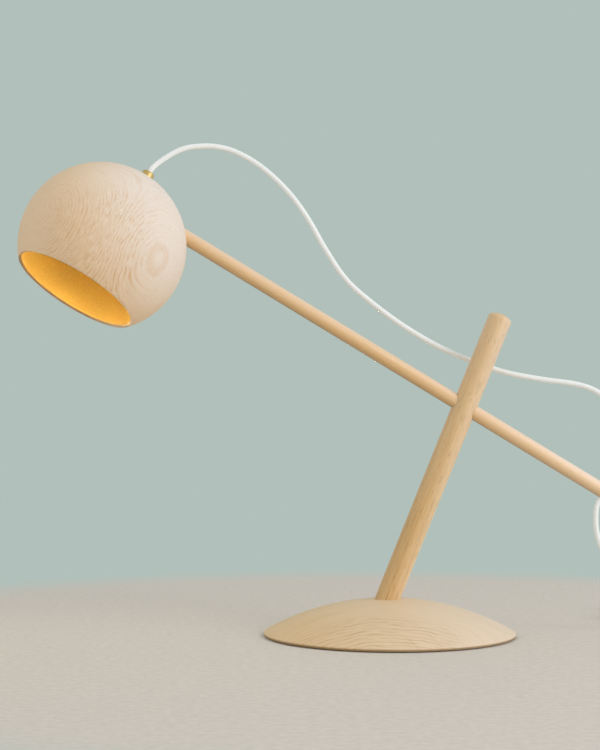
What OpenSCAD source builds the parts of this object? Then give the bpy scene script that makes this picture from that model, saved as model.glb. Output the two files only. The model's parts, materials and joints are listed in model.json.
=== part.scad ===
// Table lamp: a leaning wooden post on a low domed base carries a sloping wooden arm in a snug hole.
// The arm slides through the post, and a turned wooden ball shade swivels on the arm's upper end.
// The origin is the centre of the felt foot's underside, +Z is up and the arm lies over the X axis.

/* [Base] */
// Diameter of the round base at its edge
base_d = 252; // [230:1:280]
// Height of the dome's top above the table
base_top = 36.6; // [34:0.2:42]
// Height of the thin edge of the base
base_edge = 2.4; // [1.8:0.2:4]
// How far the edge is undercut towards the table
base_undercut = 0.8; // [0.4:0.2:2]
// Thickness of the felt foot
foot_t = 0.8; // [0.6:0.1:1.5]
// How far the felt stands in from the edge
foot_inset = 8; // [6:1:16]
// Outer diameter of the steel ballast ring
ballast_d = 190; // [160:1:196]
// Inner diameter of the steel ballast ring
ballast_bore = 72; // [64:1:90]
// Thickness of the steel ballast ring
ballast_t = 8; // [5:0.5:9]
// Diameter of the circle that the ballast screws stand on
ballast_screw_circle = 130; // [110:1:150]
// Shank diameter of the ballast screws
ballast_screw_d = 4; // [3:0.5:5]
// Length of the ballast screws
ballast_screw_l = 16; // [12:1:18]

/* [Post] */
// Diameter of the leaning post
post_d = 24; // [22:0.5:28]
// Length of the post with its foot
post_len = 326; // [290:1:360]
// Lean of the post from the vertical
post_lean = 21.9; // [18:0.1:24]
// Height at which the post's axis crosses the axis of the base
post_cross_z = 41.7; // [40:0.1:44]
// Length of the post below that crossing
post_sink = 25; // [22:0.5:27]
// Rise of the post's domed upper end
post_dome = 4; // [1:0.5:6]
// Shank diameter of the long screw in the post's foot
post_screw_d = 6; // [5:0.5:7]
// Length of that screw's shank
post_screw_l = 60; // [50:1:80]
// Head diameter of that screw
post_screw_head_d = 12; // [10:0.5:13]
// Head height of that screw
post_screw_head_h = 3.5; // [2.5:0.5:4]

/* [Arm] */
// Diameter of the arm
arm_d = 14.5; // [13:0.5:17]
// Slope of the arm below the horizontal
arm_slope = 31.3; // [28:0.1:34]
// Distance up the post from the axes' crossing to the arm
arm_up = 201.1; // [180:0.1:220]
// Distance from the post's axis to the shade's axis, along the arm
head_reach = 389.9; // [340:0.1:420]
// Distance from the post's axis to the arm's lower end
arm_tail = 190; // [180:1:220]
// Rise of the arm's domed lower end
arm_dome = 2.5; // [0.5:0.5:4]
// Distance from the post's axis to the cord's cross hole
cord_hole_at = 163.9; // [150:0.1:172]
// Diameter of the cord's cross hole
cord_hole_d = 6.2; // [6:0.1:7]
// Wall of the friction sleeve in the post
sleeve_t = 0.7; // [0.5:0.1:1.5]

/* [Shade] */
// Outer diameter of the ball shade
shade_d = 166; // [156:1:180]
// Height from the mouth's outer edge to the ball's centre
mouth_cut = 53.5; // [50:0.5:58]
// Wall of the shade at its mouth
shade_wall = 3.5; // [3:0.5:6]
// Height of the hollow's ceiling above the ball's centre
ceiling_z = 38; // [32:0.5:40]
// Radius of the ceiling's shallow dome
ceiling_r = 100; // [95:1:140]
// Distance from the ball's centre to the arm's axis
arm_off = 53.8; // [53:0.1:56]
// Turn of the shade about the arm, mouth towards the front
shade_roll = 16; // [-30:0.5:40]
// Tip of the shade's axis from square to the arm, crown away from the arm
shade_tip = 1.8; // [0:0.1:3]
// Diameter of the wiring pocket in the crown
pocket_d = 34; // [31:0.5:38]
// Height of the wiring pocket's ceiling above the ball's centre
pocket_top = 66; // [65:0.5:69]
// Depth of the flat for the gland on the crown
gland_flat = 0.5; // [0.3:0.1:1]

/* [Swivel] */
// Shank diameter of the swivel screw
pivot_d = 3.9; // [3:0.1:4]
// Length of the swivel screw's shank
pivot_l = 22; // [20:0.5:24]
// Head diameter of the swivel screw
pivot_head_d = 8; // [7:0.5:9]
// Head height of the swivel screw
pivot_head_h = 3; // [2:0.5:3.5]
// Outer diameter of the swivel's washers
pivot_washer_d = 10; // [9.5:0.5:11]
// Thickness of each of the swivel's washers
pivot_washer_t = 1; // [0.8:0.1:1.2]
// Wood between the pocket's flat and the arm's socket
pivot_web = 6; // [5:0.5:8]
// Outer diameter of the threaded insert in the arm's end
insert_d = 8; // [7:0.5:9]
// Length of the threaded insert
insert_l = 15; // [12:0.5:18]

/* [Lampholder] */
// Outer diameter of the hollow nipple
nipple_d = 10; // [9:0.5:10.5]
// Bore of the hollow nipple
nipple_bore = 6.8; // [6.2:0.1:7.4]
// Outer diameter of the brass gland
gland_d = 12.5; // [12:0.5:15]
// Height of the brass gland
gland_h = 9.5; // [8:0.5:14]
// Width of the gland's upper end
gland_end_d = 11.4; // [8:0.2:11.6]
// Width of the lock nut across its flats
nut_flats = 14; // [13:0.5:16]
// Thickness of the lock nut
nut_t = 3.5; // [2.5:0.5:3.5]
// Thickness of the washer under the lock nut
nipple_washer_t = 1; // [0.8:0.1:1]
// Outer diameter of the lampholder
holder_d = 27; // [26:0.5:29]
// Wall of the lampholder
holder_wall = 2; // [1.5:0.25:2.5]
// How far the lampholder stands up into the pocket
holder_recess = 8; // [5:0.5:9]
// Length of the lampholder's upper half
holder_cap_l = 14; // [12:0.5:18]
// Length of the lampholder's lower half
holder_sleeve_l = 17.5; // [17:0.5:20]
// Thickness of the insulating disc between the halves
insulator_t = 4; // [3:0.5:6]
// Bore of the threaded metal shell
socket_bore = 14.6; // [14.2:0.1:15]
// Wall of the threaded metal shell
socket_wall = 0.9; // [0.5:0.1:1]

/* [Bulb] */
// Diameter of the bulb's glass
bulb_d = 40; // [36:1:45]
// Thickness of the bulb's glass
bulb_glass_t = 1; // [0.6:0.1:1.5]
// Diameter of the bulb's screw cap
bulb_cap_d = 13.8; // [13.2:0.1:14]
// Length of the bulb's screw cap
bulb_cap_l = 16; // [15.5:0.5:17]
// Length of the collar between cap and glass
bulb_collar_l = 6; // [4:0.5:9]
// Diameter of the collar where it meets the glass
bulb_collar_d = 22; // [18:0.5:26]

/* [Cord] */
// Diameter of the round cord
cord_d = 5.5; // [5:0.1:5.6]
// Innermost radius of the coil
coil_in_r = 24; // [22:0.5:26]
// Step between the coil's turns and layers
coil_step = 6.1; // [6.1:0.1:7]
// Width of the strap round the coil
tie_w = 8; // [6:0.5:10]
// Thickness of that strap
tie_t = 0.7; // [0.5:0.1:0.8]

/* [Switch] */
// Length of the cord switch
switch_l = 60; // [58:1:66]
// Width of the cord switch
switch_w = 26; // [24:0.5:28]
// Height of the lower shell, where the cord's axis lies
switch_base_h = 7; // [6.5:0.5:8]
// Height of the upper shell
switch_cover_h = 7.5; // [7:0.5:8]
// Corner radius of the switch
switch_round = 8; // [5:0.5:11]
// Wall of the switch's shells
switch_wall = 1.8; // [1.5:0.1:2.2]
// Length of the rocker
rocker_l = 22; // [20:0.5:24]
// Width of the rocker
rocker_w = 11; // [10:0.5:12]
// Swing of the rocker from one side to the other
rocker_swing = 14; // [10:1:16]
// Diameter of the rocker's trunnions
trunnion_d = 2.4; // [2:0.1:2.8]
// Length of each tapered cord sleeve outside the switch
sleeve_l = 16; // [14:1:18]

/* [Plug] */
// Width of the flat plug
plug_w = 35; // [33:0.5:37]
// Length of the plug's body
plug_l = 34; // [30:0.5:38]
// Thickness of the plug's body
plug_t = 13.6; // [12:0.2:13.8]
// Diameter of the plug's pins
pin_d = 4; // [3.6:0.1:4.4]
// Length of the plug's pins
pin_l = 19; // [17:0.5:21]
// Distance between the plug's pins
pin_gap = 18.6; // [17:0.2:20]
// Length of the plug's tapered strain relief
relief_l = 24; // [20:1:24]

/* [Fits] */
// Radial clearance of pieces that turn or slide
run_gap = 0.05; // [0.03:0.01:0.08]
// Radial clearance of pieces that are glued, screwed or pushed in
seat_gap = 0.1; // [0.08:0.01:0.15]
// Clearance of faces that pass each other
pass_gap = 0.4; // [0.3:0.05:0.5]

/* [Hidden] */

// Facets of round shapes in the preview
$fn = 96;
// A length that lets a cut run past a face
past = 1;

ash = "#e0c39a";
pale_ash = "#e8d3b4";
felt_grey = "#6d6a66";
steel = "#a9adb2";
brass = "#c9a24d";
cord_white = "#f1f1ec";
plastic_white = "#f4f3ee";
porcelain = "#ece9e0";
frosted = "#fff3d6";
fibre = "#8c3b2c";
liner = "#d8c29a";

// Base: the dome is part of a large ball through the edge and the top
base_r = base_d / 2;
edge_z = foot_t + base_edge;
dome_rise = base_top - edge_z;
dome_r = (base_r * base_r + dome_rise * dome_rise) / (2 * dome_rise);
foot_r = base_r - foot_inset;
screw_count = 3;
ballast_head_h = 2.4;
ballast_head_d = 2 * ballast_screw_d;

// Post: distances along its axis from the crossing with the base's axis
post_r = post_d / 2;
post_top_t = post_len - post_sink;
head_drop = post_screw_head_d / 2 * sin(post_lean);
post_head_t = -(post_cross_z - foot_t - head_drop - pass_gap) / cos(post_lean);
post_seat_t = post_head_t + post_screw_head_h;

// Arm: distances along its axis from the post's axis
arm_r = arm_d / 2;
sleeve_bore_r = arm_r + run_gap;
sleeve_r = sleeve_bore_r + sleeve_t;
arm_cross = [arm_up * sin(post_lean), 0, post_cross_z + arm_up * cos(post_lean)];

// Head: distances from the shade's axis along the arm, and heights above the ball's centre
shade_r = shade_d / 2;
mouth_r = sqrt(shade_r * shade_r - mouth_cut * mouth_cut);
pocket_r = pocket_d / 2;
spot_depth = 1.5;
spot_d = pivot_washer_d + 2;
spot_x = pocket_r + spot_depth;
socket_end_x = spot_x + pivot_web;
arm_end_x = socket_end_x + pass_gap;
gland_z = shade_r - gland_flat;
gland_top_z = gland_z + gland_h;
gland_shoulder_h = 0.8;
nipple_grip = 4;
nipple_top_z = gland_z + nipple_grip;
holder_top_z = ceiling_z + holder_recess;
nipple_end_z = holder_top_z - nipple_grip;
holder_split_z = holder_top_z - holder_cap_l;
holder_end_z = holder_split_z - holder_sleeve_l;
contact_t = 0.8;
contact_d = 5;
tip_t = 1.2;
tip_d = 6;
bulb_cap_top_z = holder_split_z - contact_t - tip_t;
bulb_cap_end_z = bulb_cap_top_z - bulb_cap_l;
bulb_neck_z = bulb_cap_end_z - bulb_collar_l;
bulb_r = bulb_d / 2;
bulb_z = bulb_neck_z - sqrt(bulb_r * bulb_r - bulb_collar_d * bulb_collar_d / 4);
grub_d = 2.4;
grub_z = (nipple_top_z + gland_top_z - gland_shoulder_h) / 2 + gland_flat;

// Cord and what lies on the table beside the lamp
cord_r = cord_d / 2;
cord_bore_r = cord_r + 2 * seat_gap;
cord_rise = 8;
tube_sides = 8;
coil_sides = 6;
coil_rings = 24;
coil_turns = 4.5;
coil_mid = coil_turns / 2;
coil_out_r = coil_in_r + coil_step * coil_mid;
coil_climb = 0.25;
tie_lift = 0.15;
tie_slack = 0.7;
coil_z = cord_r + tie_t + 2 * tie_lift;
switch_x = 268;
switch_y = 116;
switch_in_y = switch_y - switch_l / 2 - sleeve_l;
switch_out_y = switch_y + switch_l / 2 + sleeve_l;
link_l = 28;
coil_start_y = switch_out_y + link_l + cord_d;
coil_x = switch_x + coil_out_r;
plug_x = coil_x + coil_out_r;
end_l = 30;
plug_cord_y = coil_start_y - cord_d - end_l;
plug_z = plug_t / 2 + seat_gap;
sleeve_big_d = 8;
sleeve_small_d = 6.8;
sleeve_flange_d = 10.4;
relief_big_d = 10;
relief_small_d = 7.2;
plug_back_r = 5;
plug_front_r = 4;
plug_collar = 2;
plug_facets = 32;

// The switch's inside: screws in bosses, cheeks that carry the trunnions, and the rocker's lower part
switch_boss_d = 6;
switch_boss_x = 22;
switch_screw_d = 2.4;
switch_head_d = 4.8;
switch_head_top = switch_wall + 1;
switch_grip = 5;
terminal_size = [8, 4, 3.5];
cheek_l = 9;
cheek_h = switch_cover_h - switch_wall / 2;
rocker_z = switch_base_h + 3.6;
rocker_gap = 0.5;
rocker_proud = 1.2;
rocker_heel = 1.2;
rocker_stem = 2;

// A point of the arm's own frame, x down the arm and z square to it, in the lamp's frame
function arm_point(p) = arm_cross + [
    p.x * cos(arm_slope) + p.z * sin(arm_slope),
    p.y,
    p.z * cos(arm_slope) - p.x * sin(arm_slope)
];
// A point of the shade's own frame, z along its axis from the ball's centre, in the lamp's frame
function head_point(p) =
    let (
        across = p.x * cos(shade_tip) - p.z * sin(shade_tip),
        up = p.x * sin(shade_tip) + p.z * cos(shade_tip) - arm_off
    )
    arm_point([
        across - head_reach,
        p.y * cos(shade_roll) + up * sin(shade_roll),
        up * cos(shade_roll) - p.y * sin(shade_roll)
    ]);

// The cord's routes: from the gland in a high arc behind the post to the arm's cross hole,
// from that hole down to the switch, and the short stretches before and after the coil
over_route = concat(
    [head_point([0, 0, gland_top_z + cord_r])],
    [
        [-236.9, 12.8, 470.6], [-231.9, 14.8, 475.2], [-225.8, 16.6, 479.9], [-218.6, 18.4, 484.7],
        [-209.4, 20.6, 489.4], [-197.7, 23.5, 492.6], [-177, 27.5, 493.9], [-154.8, 31, 488.5],
        [-129.3, 33, 474], [-103.8, 33, 450.7], [-83.4, 33, 424], [-63, 32.5, 388.6], [-42.6, 31.5, 358.7],
        [-17.1, 30, 335.4], [18.4, 28.5, 309.3], [59, 26.5, 286.3], [111.6, 24, 265.7], [153.9, 22, 256.8],
        [189, 19.5, 251.7], [209.5, 16, 244.4], [224, 11, 231.5], [232.5, 6.5, 214], [234.5, 3, 195],
        [231, 1, 175.5]
    ],
    [for (z = [arm_r + cord_rise, arm_r, -arm_r]) arm_point([cord_hole_at, 0, z])]
);
drop_route = concat(
    [for (z = [-arm_r, -arm_r - cord_d]) arm_point([cord_hole_at, 0, z])],
    [
        [206.5, 0, 124], [206.5, 1, 110], [209, 2, 97], [214, 4, 84], [221, 9, 69], [229, 16, 53.5],
        [239, 25, 38], [250, 36, 24.5], [260, 48, 14], [266.5, 59, 8.5]
    ],
    [for (y = [switch_in_y - cord_d, switch_in_y]) [switch_x, y, switch_base_h]]
);
link_route = [for (s = [[0, 0], [5, 0], [14, 0.5], [23, 1], [link_l, 1]])
    [switch_x, switch_out_y + s.x, switch_base_h + s.y * (coil_z - switch_base_h)]];
end_route = [for (s = [[0, 0], [6, 0], [15, 0.5], [24, 1], [end_l, 1]])
    [plug_x, plug_cord_y + end_l - s.x, coil_z + coil_step + s.y * (plug_z - coil_z - coil_step)]];

// A smooth curve through the points of a route
function curve_at(a, b, c, d, t) =
    (2 * b + (c - a) * t + (2 * a - 5 * b + 4 * c - d) * t * t + (3 * b - a - 3 * c + d) * t * t * t) / 2;
function smooth_route(p, steps) = concat(
    [for (i = [0 : len(p) - 2])
        let (before = p[max(i - 1, 0)], after = p[min(i + 2, len(p) - 1)])
        for (k = [0 : steps - 1]) curve_at(before, p[i], p[i + 1], after, k / steps)],
    [p[len(p) - 1]]
);
function path_length(p, i = 0) = i >= len(p) - 1 ? 0 : norm(p[i + 1] - p[i]) + path_length(p, i + 1);

// The coil: in on the lower layer, a climb in the half turn where it reverses, out on the upper one
function climb(t) =
    let (s = min(max((t - coil_mid + coil_climb) / (2 * coil_climb), 0), 1)) s * s * (3 - 2 * s);
function coil_point(t) =
    let (r = coil_in_r + coil_step * abs(t - coil_mid), a = 180 - 360 * t)
    [coil_x + r * cos(a), coil_start_y + r * sin(a), coil_z + coil_step * climb(t)];
coil_turn_points = [for (i = [0 : coil_turns * coil_rings]) coil_point(i / coil_rings)];
coil_last = coil_turn_points[len(coil_turn_points) - 1];
coil_path = concat(
    [coil_turn_points[0] - [0, cord_d, 0]], coil_turn_points, [coil_last - [0, cord_d, 0]]
);
coil_gap = min([for (i = [0 : len(coil_path) - 1], k = [i + coil_rings / 2 : 1 : len(coil_path) - 1])
    norm(coil_path[i] - coil_path[k])]) - cord_d;
over_path = concat([head_point([0, 0, gland_top_z])], smooth_route(over_route, 2));
drop_path = smooth_route(drop_route, 1);
echo(coil_least_gap = coil_gap);
echo(cord_lengths = [for (p = [over_path, drop_path, link_route, coil_path, end_route]) path_length(p)]);
echo(cord_rings = [len(over_path), len(drop_path), len(link_route), len(end_route)]);

// A round tube swept along a path; side is a direction that the path never follows
module tube(path, r, sides, side) {
    last = len(path) - 1;
    points = [for (i = [0 : last])
        let (
            way = path[min(i + 1, last)] - path[max(i - 1, 0)],
            along = way / norm(way),
            out = cross(along, side) / norm(cross(along, side)),
            up = cross(along, out)
        )
        for (j = [0 : sides - 1]) path[i] + r * (out * cos(360 * j / sides) + up * sin(360 * j / sides))];
    wall = [for (i = [0 : last - 1], j = [0 : sides - 1])
        let (a = i * sides + j, b = i * sides + (j + 1) % sides)
        for (f = [[a, a + sides, b + sides], [a, b + sides, b]]) f];
    caps = [for (j = [1 : sides - 2])
        for (f = [[0, j, j + 1], [last * sides, last * sides + j + 1, last * sides + j]]) f];
    polyhedron(points, concat(wall, caps));
}

module at_post() {
    translate([0, 0, post_cross_z]) rotate([0, post_lean, 0]) children();
}

module at_arm() {
    translate(arm_cross) rotate([0, arm_slope, 0]) children();
}

module at_head() {
    at_arm() translate([-head_reach, 0, 0]) rotate([-shade_roll, 0, 0])
        translate([0, 0, -arm_off]) rotate([0, -shade_tip, 0]) children();
}

// The swivel's frame: z runs down the arm from the shade's axis
module at_swivel() {
    at_arm() translate([-head_reach, 0, 0]) rotate([0, 90, 0]) children();
}

// The switch's frame: x runs along its cord, away from the lamp
module at_switch() {
    translate([switch_x, switch_y, 0]) rotate([0, 0, 90]) children();
}

// The plug's frame: x runs from its cord to its pins
module at_plug() {
    translate([plug_x, plug_cord_y, plug_z]) rotate([0, 0, -90]) children();
}

// A cylinder from one height to another
module rod(d, from, to) {
    translate([0, 0, from]) cylinder(d = d, h = to - from);
}

module ring(d, bore, from, to) {
    difference() {
        rod(d, from, to);
        rod(bore, from - past, to + past);
    }
}

// A cylinder whose upper end is a shallow dome
module domed_rod(d, from, to, rise) {
    end_r = (d * d / 4 + rise * rise) / (2 * rise);
    rod(d, from, to - rise);
    translate([0, 0, to - rise]) rotate_extrude() intersection() {
        translate([0, rise - end_r]) circle(end_r);
        translate([0, -past]) square([d / 2, rise + past]);
    }
}

module ballast_places() {
    for (i = [0 : screw_count - 1])
        rotate([0, 0, 60 + i * 360 / screw_count])
            translate([ballast_screw_circle / 2, 0, foot_t]) children();
}

// A plate with rounded corners, centred on the origin
module rounded_plate(l, w, r, from, to) {
    translate([0, 0, from]) linear_extrude(to - from) {
        square([l - 2 * r, w], center = true);
        square([l, w - 2 * r], center = true);
        for (x = [-1, 1], y = [-1, 1]) translate([x * (l / 2 - r), y * (w / 2 - r)]) circle(r);
    }
}

module base() {
    color(ash) difference() {
        rotate_extrude() intersection() {
            translate([0, base_top - dome_r]) circle(dome_r);
            polygon([[0, foot_t], [base_r - base_undercut, foot_t], [base_r, edge_z], [base_r, base_top],
                [0, base_top]]);
        }
        ring(ballast_d + 2 * seat_gap, ballast_bore - 2 * seat_gap, foot_t - past,
            foot_t + ballast_t + seat_gap);
        ballast_places() rod(ballast_screw_d + 2 * seat_gap, ballast_t, ballast_screw_l + seat_gap);
        at_post() {
            rod(post_d + 2 * seat_gap, -post_sink, post_len);
            rod(post_screw_d + 2 * seat_gap, post_seat_t - past, -post_sink + past);
            rod(post_screw_head_d + 2 * pass_gap, -2 * post_cross_z, post_seat_t);
        }
    }
}

module ballast_ring() {
    color(steel) difference() {
        ring(ballast_d, ballast_bore, foot_t, foot_t + ballast_t);
        ballast_places() {
            rod(ballast_screw_d + 2 * seat_gap, -past, ballast_t + past);
            translate([0, 0, -past / 2]) rod(ballast_head_d + 2 * seat_gap, 0, past);
            translate([0, 0, past / 2]) cylinder(d1 = ballast_head_d + 2 * seat_gap,
                d2 = ballast_screw_d + 2 * seat_gap, h = ballast_head_h);
        }
    }
}

module ballast_screws() {
    color(brass) ballast_places() {
        translate([0, 0, past / 2]) cylinder(d1 = ballast_head_d, d2 = ballast_screw_d, h = ballast_head_h);
        rod(ballast_screw_d, past / 2, ballast_screw_l);
    }
}

module felt_foot() {
    color(felt_grey) rod(2 * foot_r, 0, foot_t);
}

module post() {
    color(ash) difference() {
        at_post() difference() {
            domed_rod(post_d, -post_sink, post_top_t, post_dome);
            rod(post_screw_d + 2 * seat_gap, -post_sink - past, post_seat_t + post_screw_l + past);
        }
        at_arm() rotate([0, 90, 0]) rod(2 * (sleeve_r + seat_gap), -post_d, post_d);
    }
}

module post_screw() {
    color(steel) at_post() {
        rod(post_screw_head_d, post_head_t, post_seat_t);
        rod(post_screw_d, post_seat_t - post_screw_head_h / 2, post_seat_t + post_screw_l);
    }
}

module arm_sleeve() {
    color(liner) intersection() {
        at_arm() rotate([0, 90, 0]) ring(2 * sleeve_r, 2 * sleeve_bore_r, -post_d, post_d);
        at_post() rod(post_d, 0, post_top_t);
    }
}

module arm() {
    start = arm_end_x - head_reach;
    color(ash) at_arm() difference() {
        rotate([0, 90, 0]) difference() {
            domed_rod(arm_d, start, arm_tail, arm_dome);
            rod(insert_d + 2 * seat_gap, start - past, start + insert_l + seat_gap);
            rod(pivot_d + 2 * pass_gap, start, spot_x - head_reach + pivot_l);
        }
        translate([cord_hole_at, 0, 0]) rod(cord_hole_d, -arm_d, arm_d);
    }
}

module arm_insert() {
    color(brass) at_swivel() ring(insert_d, pivot_d + 2 * seat_gap, arm_end_x, arm_end_x + insert_l);
}

module pivot_screw() {
    head_x = spot_x - run_gap - 2 * pivot_washer_t;
    color(steel) at_swivel() {
        rod(pivot_head_d, head_x - pivot_head_h, head_x);
        rod(pivot_d, head_x - pivot_head_h / 2, head_x + pivot_l);
    }
}

module pivot_washer() {
    to = spot_x - run_gap - pivot_washer_t;
    color(steel) at_swivel() ring(pivot_washer_d, pivot_d + 2 * seat_gap, to - pivot_washer_t, to);
}

module friction_washer() {
    to = spot_x - run_gap;
    color(fibre) at_swivel() ring(pivot_washer_d, pivot_d + 2 * seat_gap, to - pivot_washer_t, to);
}

module shade() {
    color(pale_ash) difference() {
        at_head() difference() {
            sphere(shade_r);
            translate([0, 0, -2 * mouth_cut]) cylinder(r1 = 2 * mouth_r, r2 = 0, h = 2 * mouth_cut);
            intersection() {
                sphere(shade_r - shade_wall);
                translate([0, 0, ceiling_z - ceiling_r]) sphere(ceiling_r);
            }
            rod(pocket_d, 0, pocket_top);
            rod(nipple_d + 2 * seat_gap, pocket_top - past, shade_d);
            rod(gland_d + 2 * pass_gap, gland_z, shade_d);
        }
        at_swivel() {
            rod(arm_d + 2 * run_gap, socket_end_x, shade_d);
            rod(pivot_d + 2 * pass_gap, 0, socket_end_x + past);
            rod(spot_d, pocket_r / 2, spot_x);
        }
    }
}

module cord_gland() {
    color(brass) at_head() difference() {
        union() {
            rod(gland_d, gland_z, gland_top_z - gland_shoulder_h);
            translate([0, 0, gland_top_z - gland_shoulder_h])
                cylinder(d1 = gland_d, d2 = gland_end_d, h = gland_shoulder_h);
        }
        rod(2 * cord_bore_r, gland_z, gland_top_z + past);
        rod(nipple_d + 2 * seat_gap, gland_z - past, nipple_top_z + seat_gap);
        translate([0, 0, grub_z]) rotate([-90, 0, 0]) rod(grub_d + 2 * seat_gap, 0, gland_d);
    }
}

module gland_screw() {
    color(steel) at_head() translate([0, 0, grub_z])
        rotate([-90, 0, 0]) rod(grub_d, cord_bore_r, gland_d / 2 - pass_gap);
}

module gland_nipple() {
    color(brass) at_head() ring(nipple_d, nipple_bore, nipple_end_z, nipple_top_z);
}

module nipple_washer() {
    color(steel) at_head()
        ring(nut_flats + 2, nipple_d + 2 * seat_gap, pocket_top - nipple_washer_t, pocket_top);
}

module nipple_nut() {
    to = pocket_top - nipple_washer_t;
    color(brass) at_head() difference() {
        translate([0, 0, to - nut_t]) cylinder(d = nut_flats / cos(30), h = nut_t, $fn = 6);
        rod(nipple_d + 2 * seat_gap, to - nut_t - past, to + past);
    }
}

module cord_lead() {
    color(cord_white) at_head() rod(cord_d, nipple_end_z, gland_top_z);
}

module holder_cap() {
    color(porcelain) at_head() difference() {
        rod(holder_d, holder_split_z, holder_top_z);
        rod(holder_d - 2 * holder_wall, holder_split_z - past, holder_top_z - nipple_grip);
        rod(nipple_d + 2 * seat_gap, holder_split_z, holder_top_z + past);
    }
}

module holder_insulator() {
    color(porcelain) at_head()
        rod(holder_d - 2 * holder_wall - 2 * seat_gap, holder_split_z, holder_split_z + insulator_t);
}

module holder_contact() {
    color(brass) at_head() rod(contact_d, holder_split_z - contact_t, holder_split_z);
}

module holder_socket() {
    color(brass) at_head()
        ring(socket_bore + 2 * socket_wall, socket_bore, holder_end_z + pass_gap, holder_split_z);
}

module holder_sleeve() {
    color(porcelain) at_head() difference() {
        rod(holder_d, holder_end_z, holder_split_z);
        rod(socket_bore + 2 * socket_wall + 2 * seat_gap, holder_end_z - past, holder_split_z + past);
        rod(holder_d - 2 * holder_wall, holder_end_z + holder_wall, holder_split_z + past);
    }
}

module bulb_tip() {
    color(brass) at_head() rod(tip_d, bulb_cap_top_z, bulb_cap_top_z + tip_t);
}

module bulb_cap() {
    color(steel) at_head() rod(bulb_cap_d, bulb_cap_end_z, bulb_cap_top_z);
}

module bulb_collar() {
    color(plastic_white) at_head() translate([0, 0, bulb_neck_z])
        cylinder(d1 = bulb_collar_d, d2 = bulb_cap_d + 1, h = bulb_collar_l);
}

module bulb_glass() {
    color(frosted) at_head() difference() {
        translate([0, 0, bulb_z]) sphere(bulb_r);
        translate([0, 0, bulb_z]) sphere(bulb_r - bulb_glass_t);
        rod(bulb_d, bulb_neck_z, bulb_neck_z + bulb_d);
    }
}

module cord_over() {
    color(cord_white) tube(over_path, cord_r, tube_sides, [0, 1, 0]);
}

module cord_drop() {
    color(cord_white) tube(drop_path, cord_r, tube_sides, [1, 0, 0]);
}

module cord_link() {
    color(cord_white) tube(link_route, cord_r, tube_sides, [1, 0, 0]);
}

module cord_coil() {
    color(cord_white) tube(coil_path, cord_r, coil_sides, [0, 0, 1]);
}

module cord_end() {
    color(cord_white) tube(end_route, cord_r, tube_sides, [1, 0, 0]);
}

// A flat strap round the bundle of turns, at the coil's far side
module coil_tie() {
    in_r = coil_in_r - cord_r - tie_slack;
    out_r = coil_out_r + cord_r + tie_slack;
    low = coil_z - cord_r - tie_lift;
    high = coil_z + coil_step + cord_r + tie_slack;
    color(felt_grey) translate([coil_x - tie_w / 2, coil_start_y, 0]) difference() {
        translate([0, in_r - tie_t, low - tie_t])
            cube([tie_w, out_r - in_r + 2 * tie_t, high - low + 2 * tie_t]);
        translate([-past, in_r, low]) cube([tie_w + 2 * past, out_r - in_r, high - low]);
    }
}

module switch_screw_places() {
    for (s = [-1, 1])
        translate([s * switch_boss_x, s * (switch_w / 2 - switch_wall / 2 - switch_boss_d / 2), 0]) children();
}

module switch_end_holes() {
    translate([0, 0, switch_base_h]) rotate([0, 90, 0])
        rod(sleeve_big_d + 2 * seat_gap, -switch_l, switch_l);
}

module switch_hollow(from, to) {
    rounded_plate(switch_l - 2 * switch_wall, switch_w - 2 * switch_wall, switch_round - switch_wall,
        from, to);
}

module switch_base() {
    color(plastic_white) at_switch() difference() {
        union() {
            difference() {
                rounded_plate(switch_l, switch_w, switch_round, 0, switch_base_h);
                switch_hollow(switch_wall, switch_base_h + past);
            }
            switch_screw_places() rod(switch_boss_d, 0, switch_base_h);
        }
        switch_end_holes();
        switch_screw_places() {
            rod(switch_screw_d + 2 * pass_gap, -past, switch_base_h + past);
            rod(switch_head_d + 2 * seat_gap, -past, switch_head_top);
        }
    }
}

module switch_cover() {
    top = switch_base_h + switch_cover_h;
    color(plastic_white) at_switch() difference() {
        union() {
            difference() {
                rounded_plate(switch_l, switch_w, switch_round, switch_base_h, top);
                switch_hollow(switch_base_h - past, top - switch_wall);
            }
            switch_screw_places() rod(switch_boss_d, switch_base_h, top - switch_wall / 2);
            for (s = [-1, 1])
                translate([0, s * (rocker_w / 2 + rocker_gap + switch_wall / 2), switch_base_h + cheek_h / 2])
                    cube([cheek_l, switch_wall, cheek_h], center = true);
        }
        switch_end_holes();
        translate([0, 0, top])
            cube([rocker_l + 2 * rocker_gap, rocker_w + 2 * rocker_gap, 2 * switch_wall + past],
                center = true);
        translate([0, 0, rocker_z]) rotate([90, 0, 0])
            rod(trunnion_d + 2 * run_gap, -rocker_w / 2 - rocker_gap - switch_wall - past / 2,
                rocker_w / 2 + rocker_gap + switch_wall + past / 2);
        switch_screw_places() rod(switch_screw_d + 2 * seat_gap, switch_base_h - past, top - switch_wall);
    }
}

// The rocker is pressed down on the lamp's side; its two faces meet over the trunnions
module switch_rocker() {
    half = rocker_l / 2 - rocker_gap;
    high = switch_base_h + switch_cover_h + rocker_proud - rocker_z;
    rise = half * tan(rocker_swing / 2);
    color(plastic_white) at_switch() translate([0, 0, rocker_z]) rotate([0, -rocker_swing / 2, 0]) {
        rotate([90, 0, 0]) translate([0, 0, -rocker_w / 2]) linear_extrude(rocker_w)
            polygon([[-half, high + rise], [0, high], [half, high + rise], [half, rocker_heel],
                [trunnion_d, -rocker_stem], [-trunnion_d, -rocker_stem], [-half, rocker_heel]]);
        rotate([90, 0, 0]) rod(trunnion_d, -rocker_w / 2 - rocker_gap - switch_wall,
            rocker_w / 2 + rocker_gap + switch_wall);
    }
}

module switch_terminals() {
    color(brass) at_switch() for (s = [-1, 1])
        translate([s * switch_l / 5, -s * switch_w / 6, switch_wall + terminal_size.z / 2])
            cube(terminal_size, center = true);
}

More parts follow.
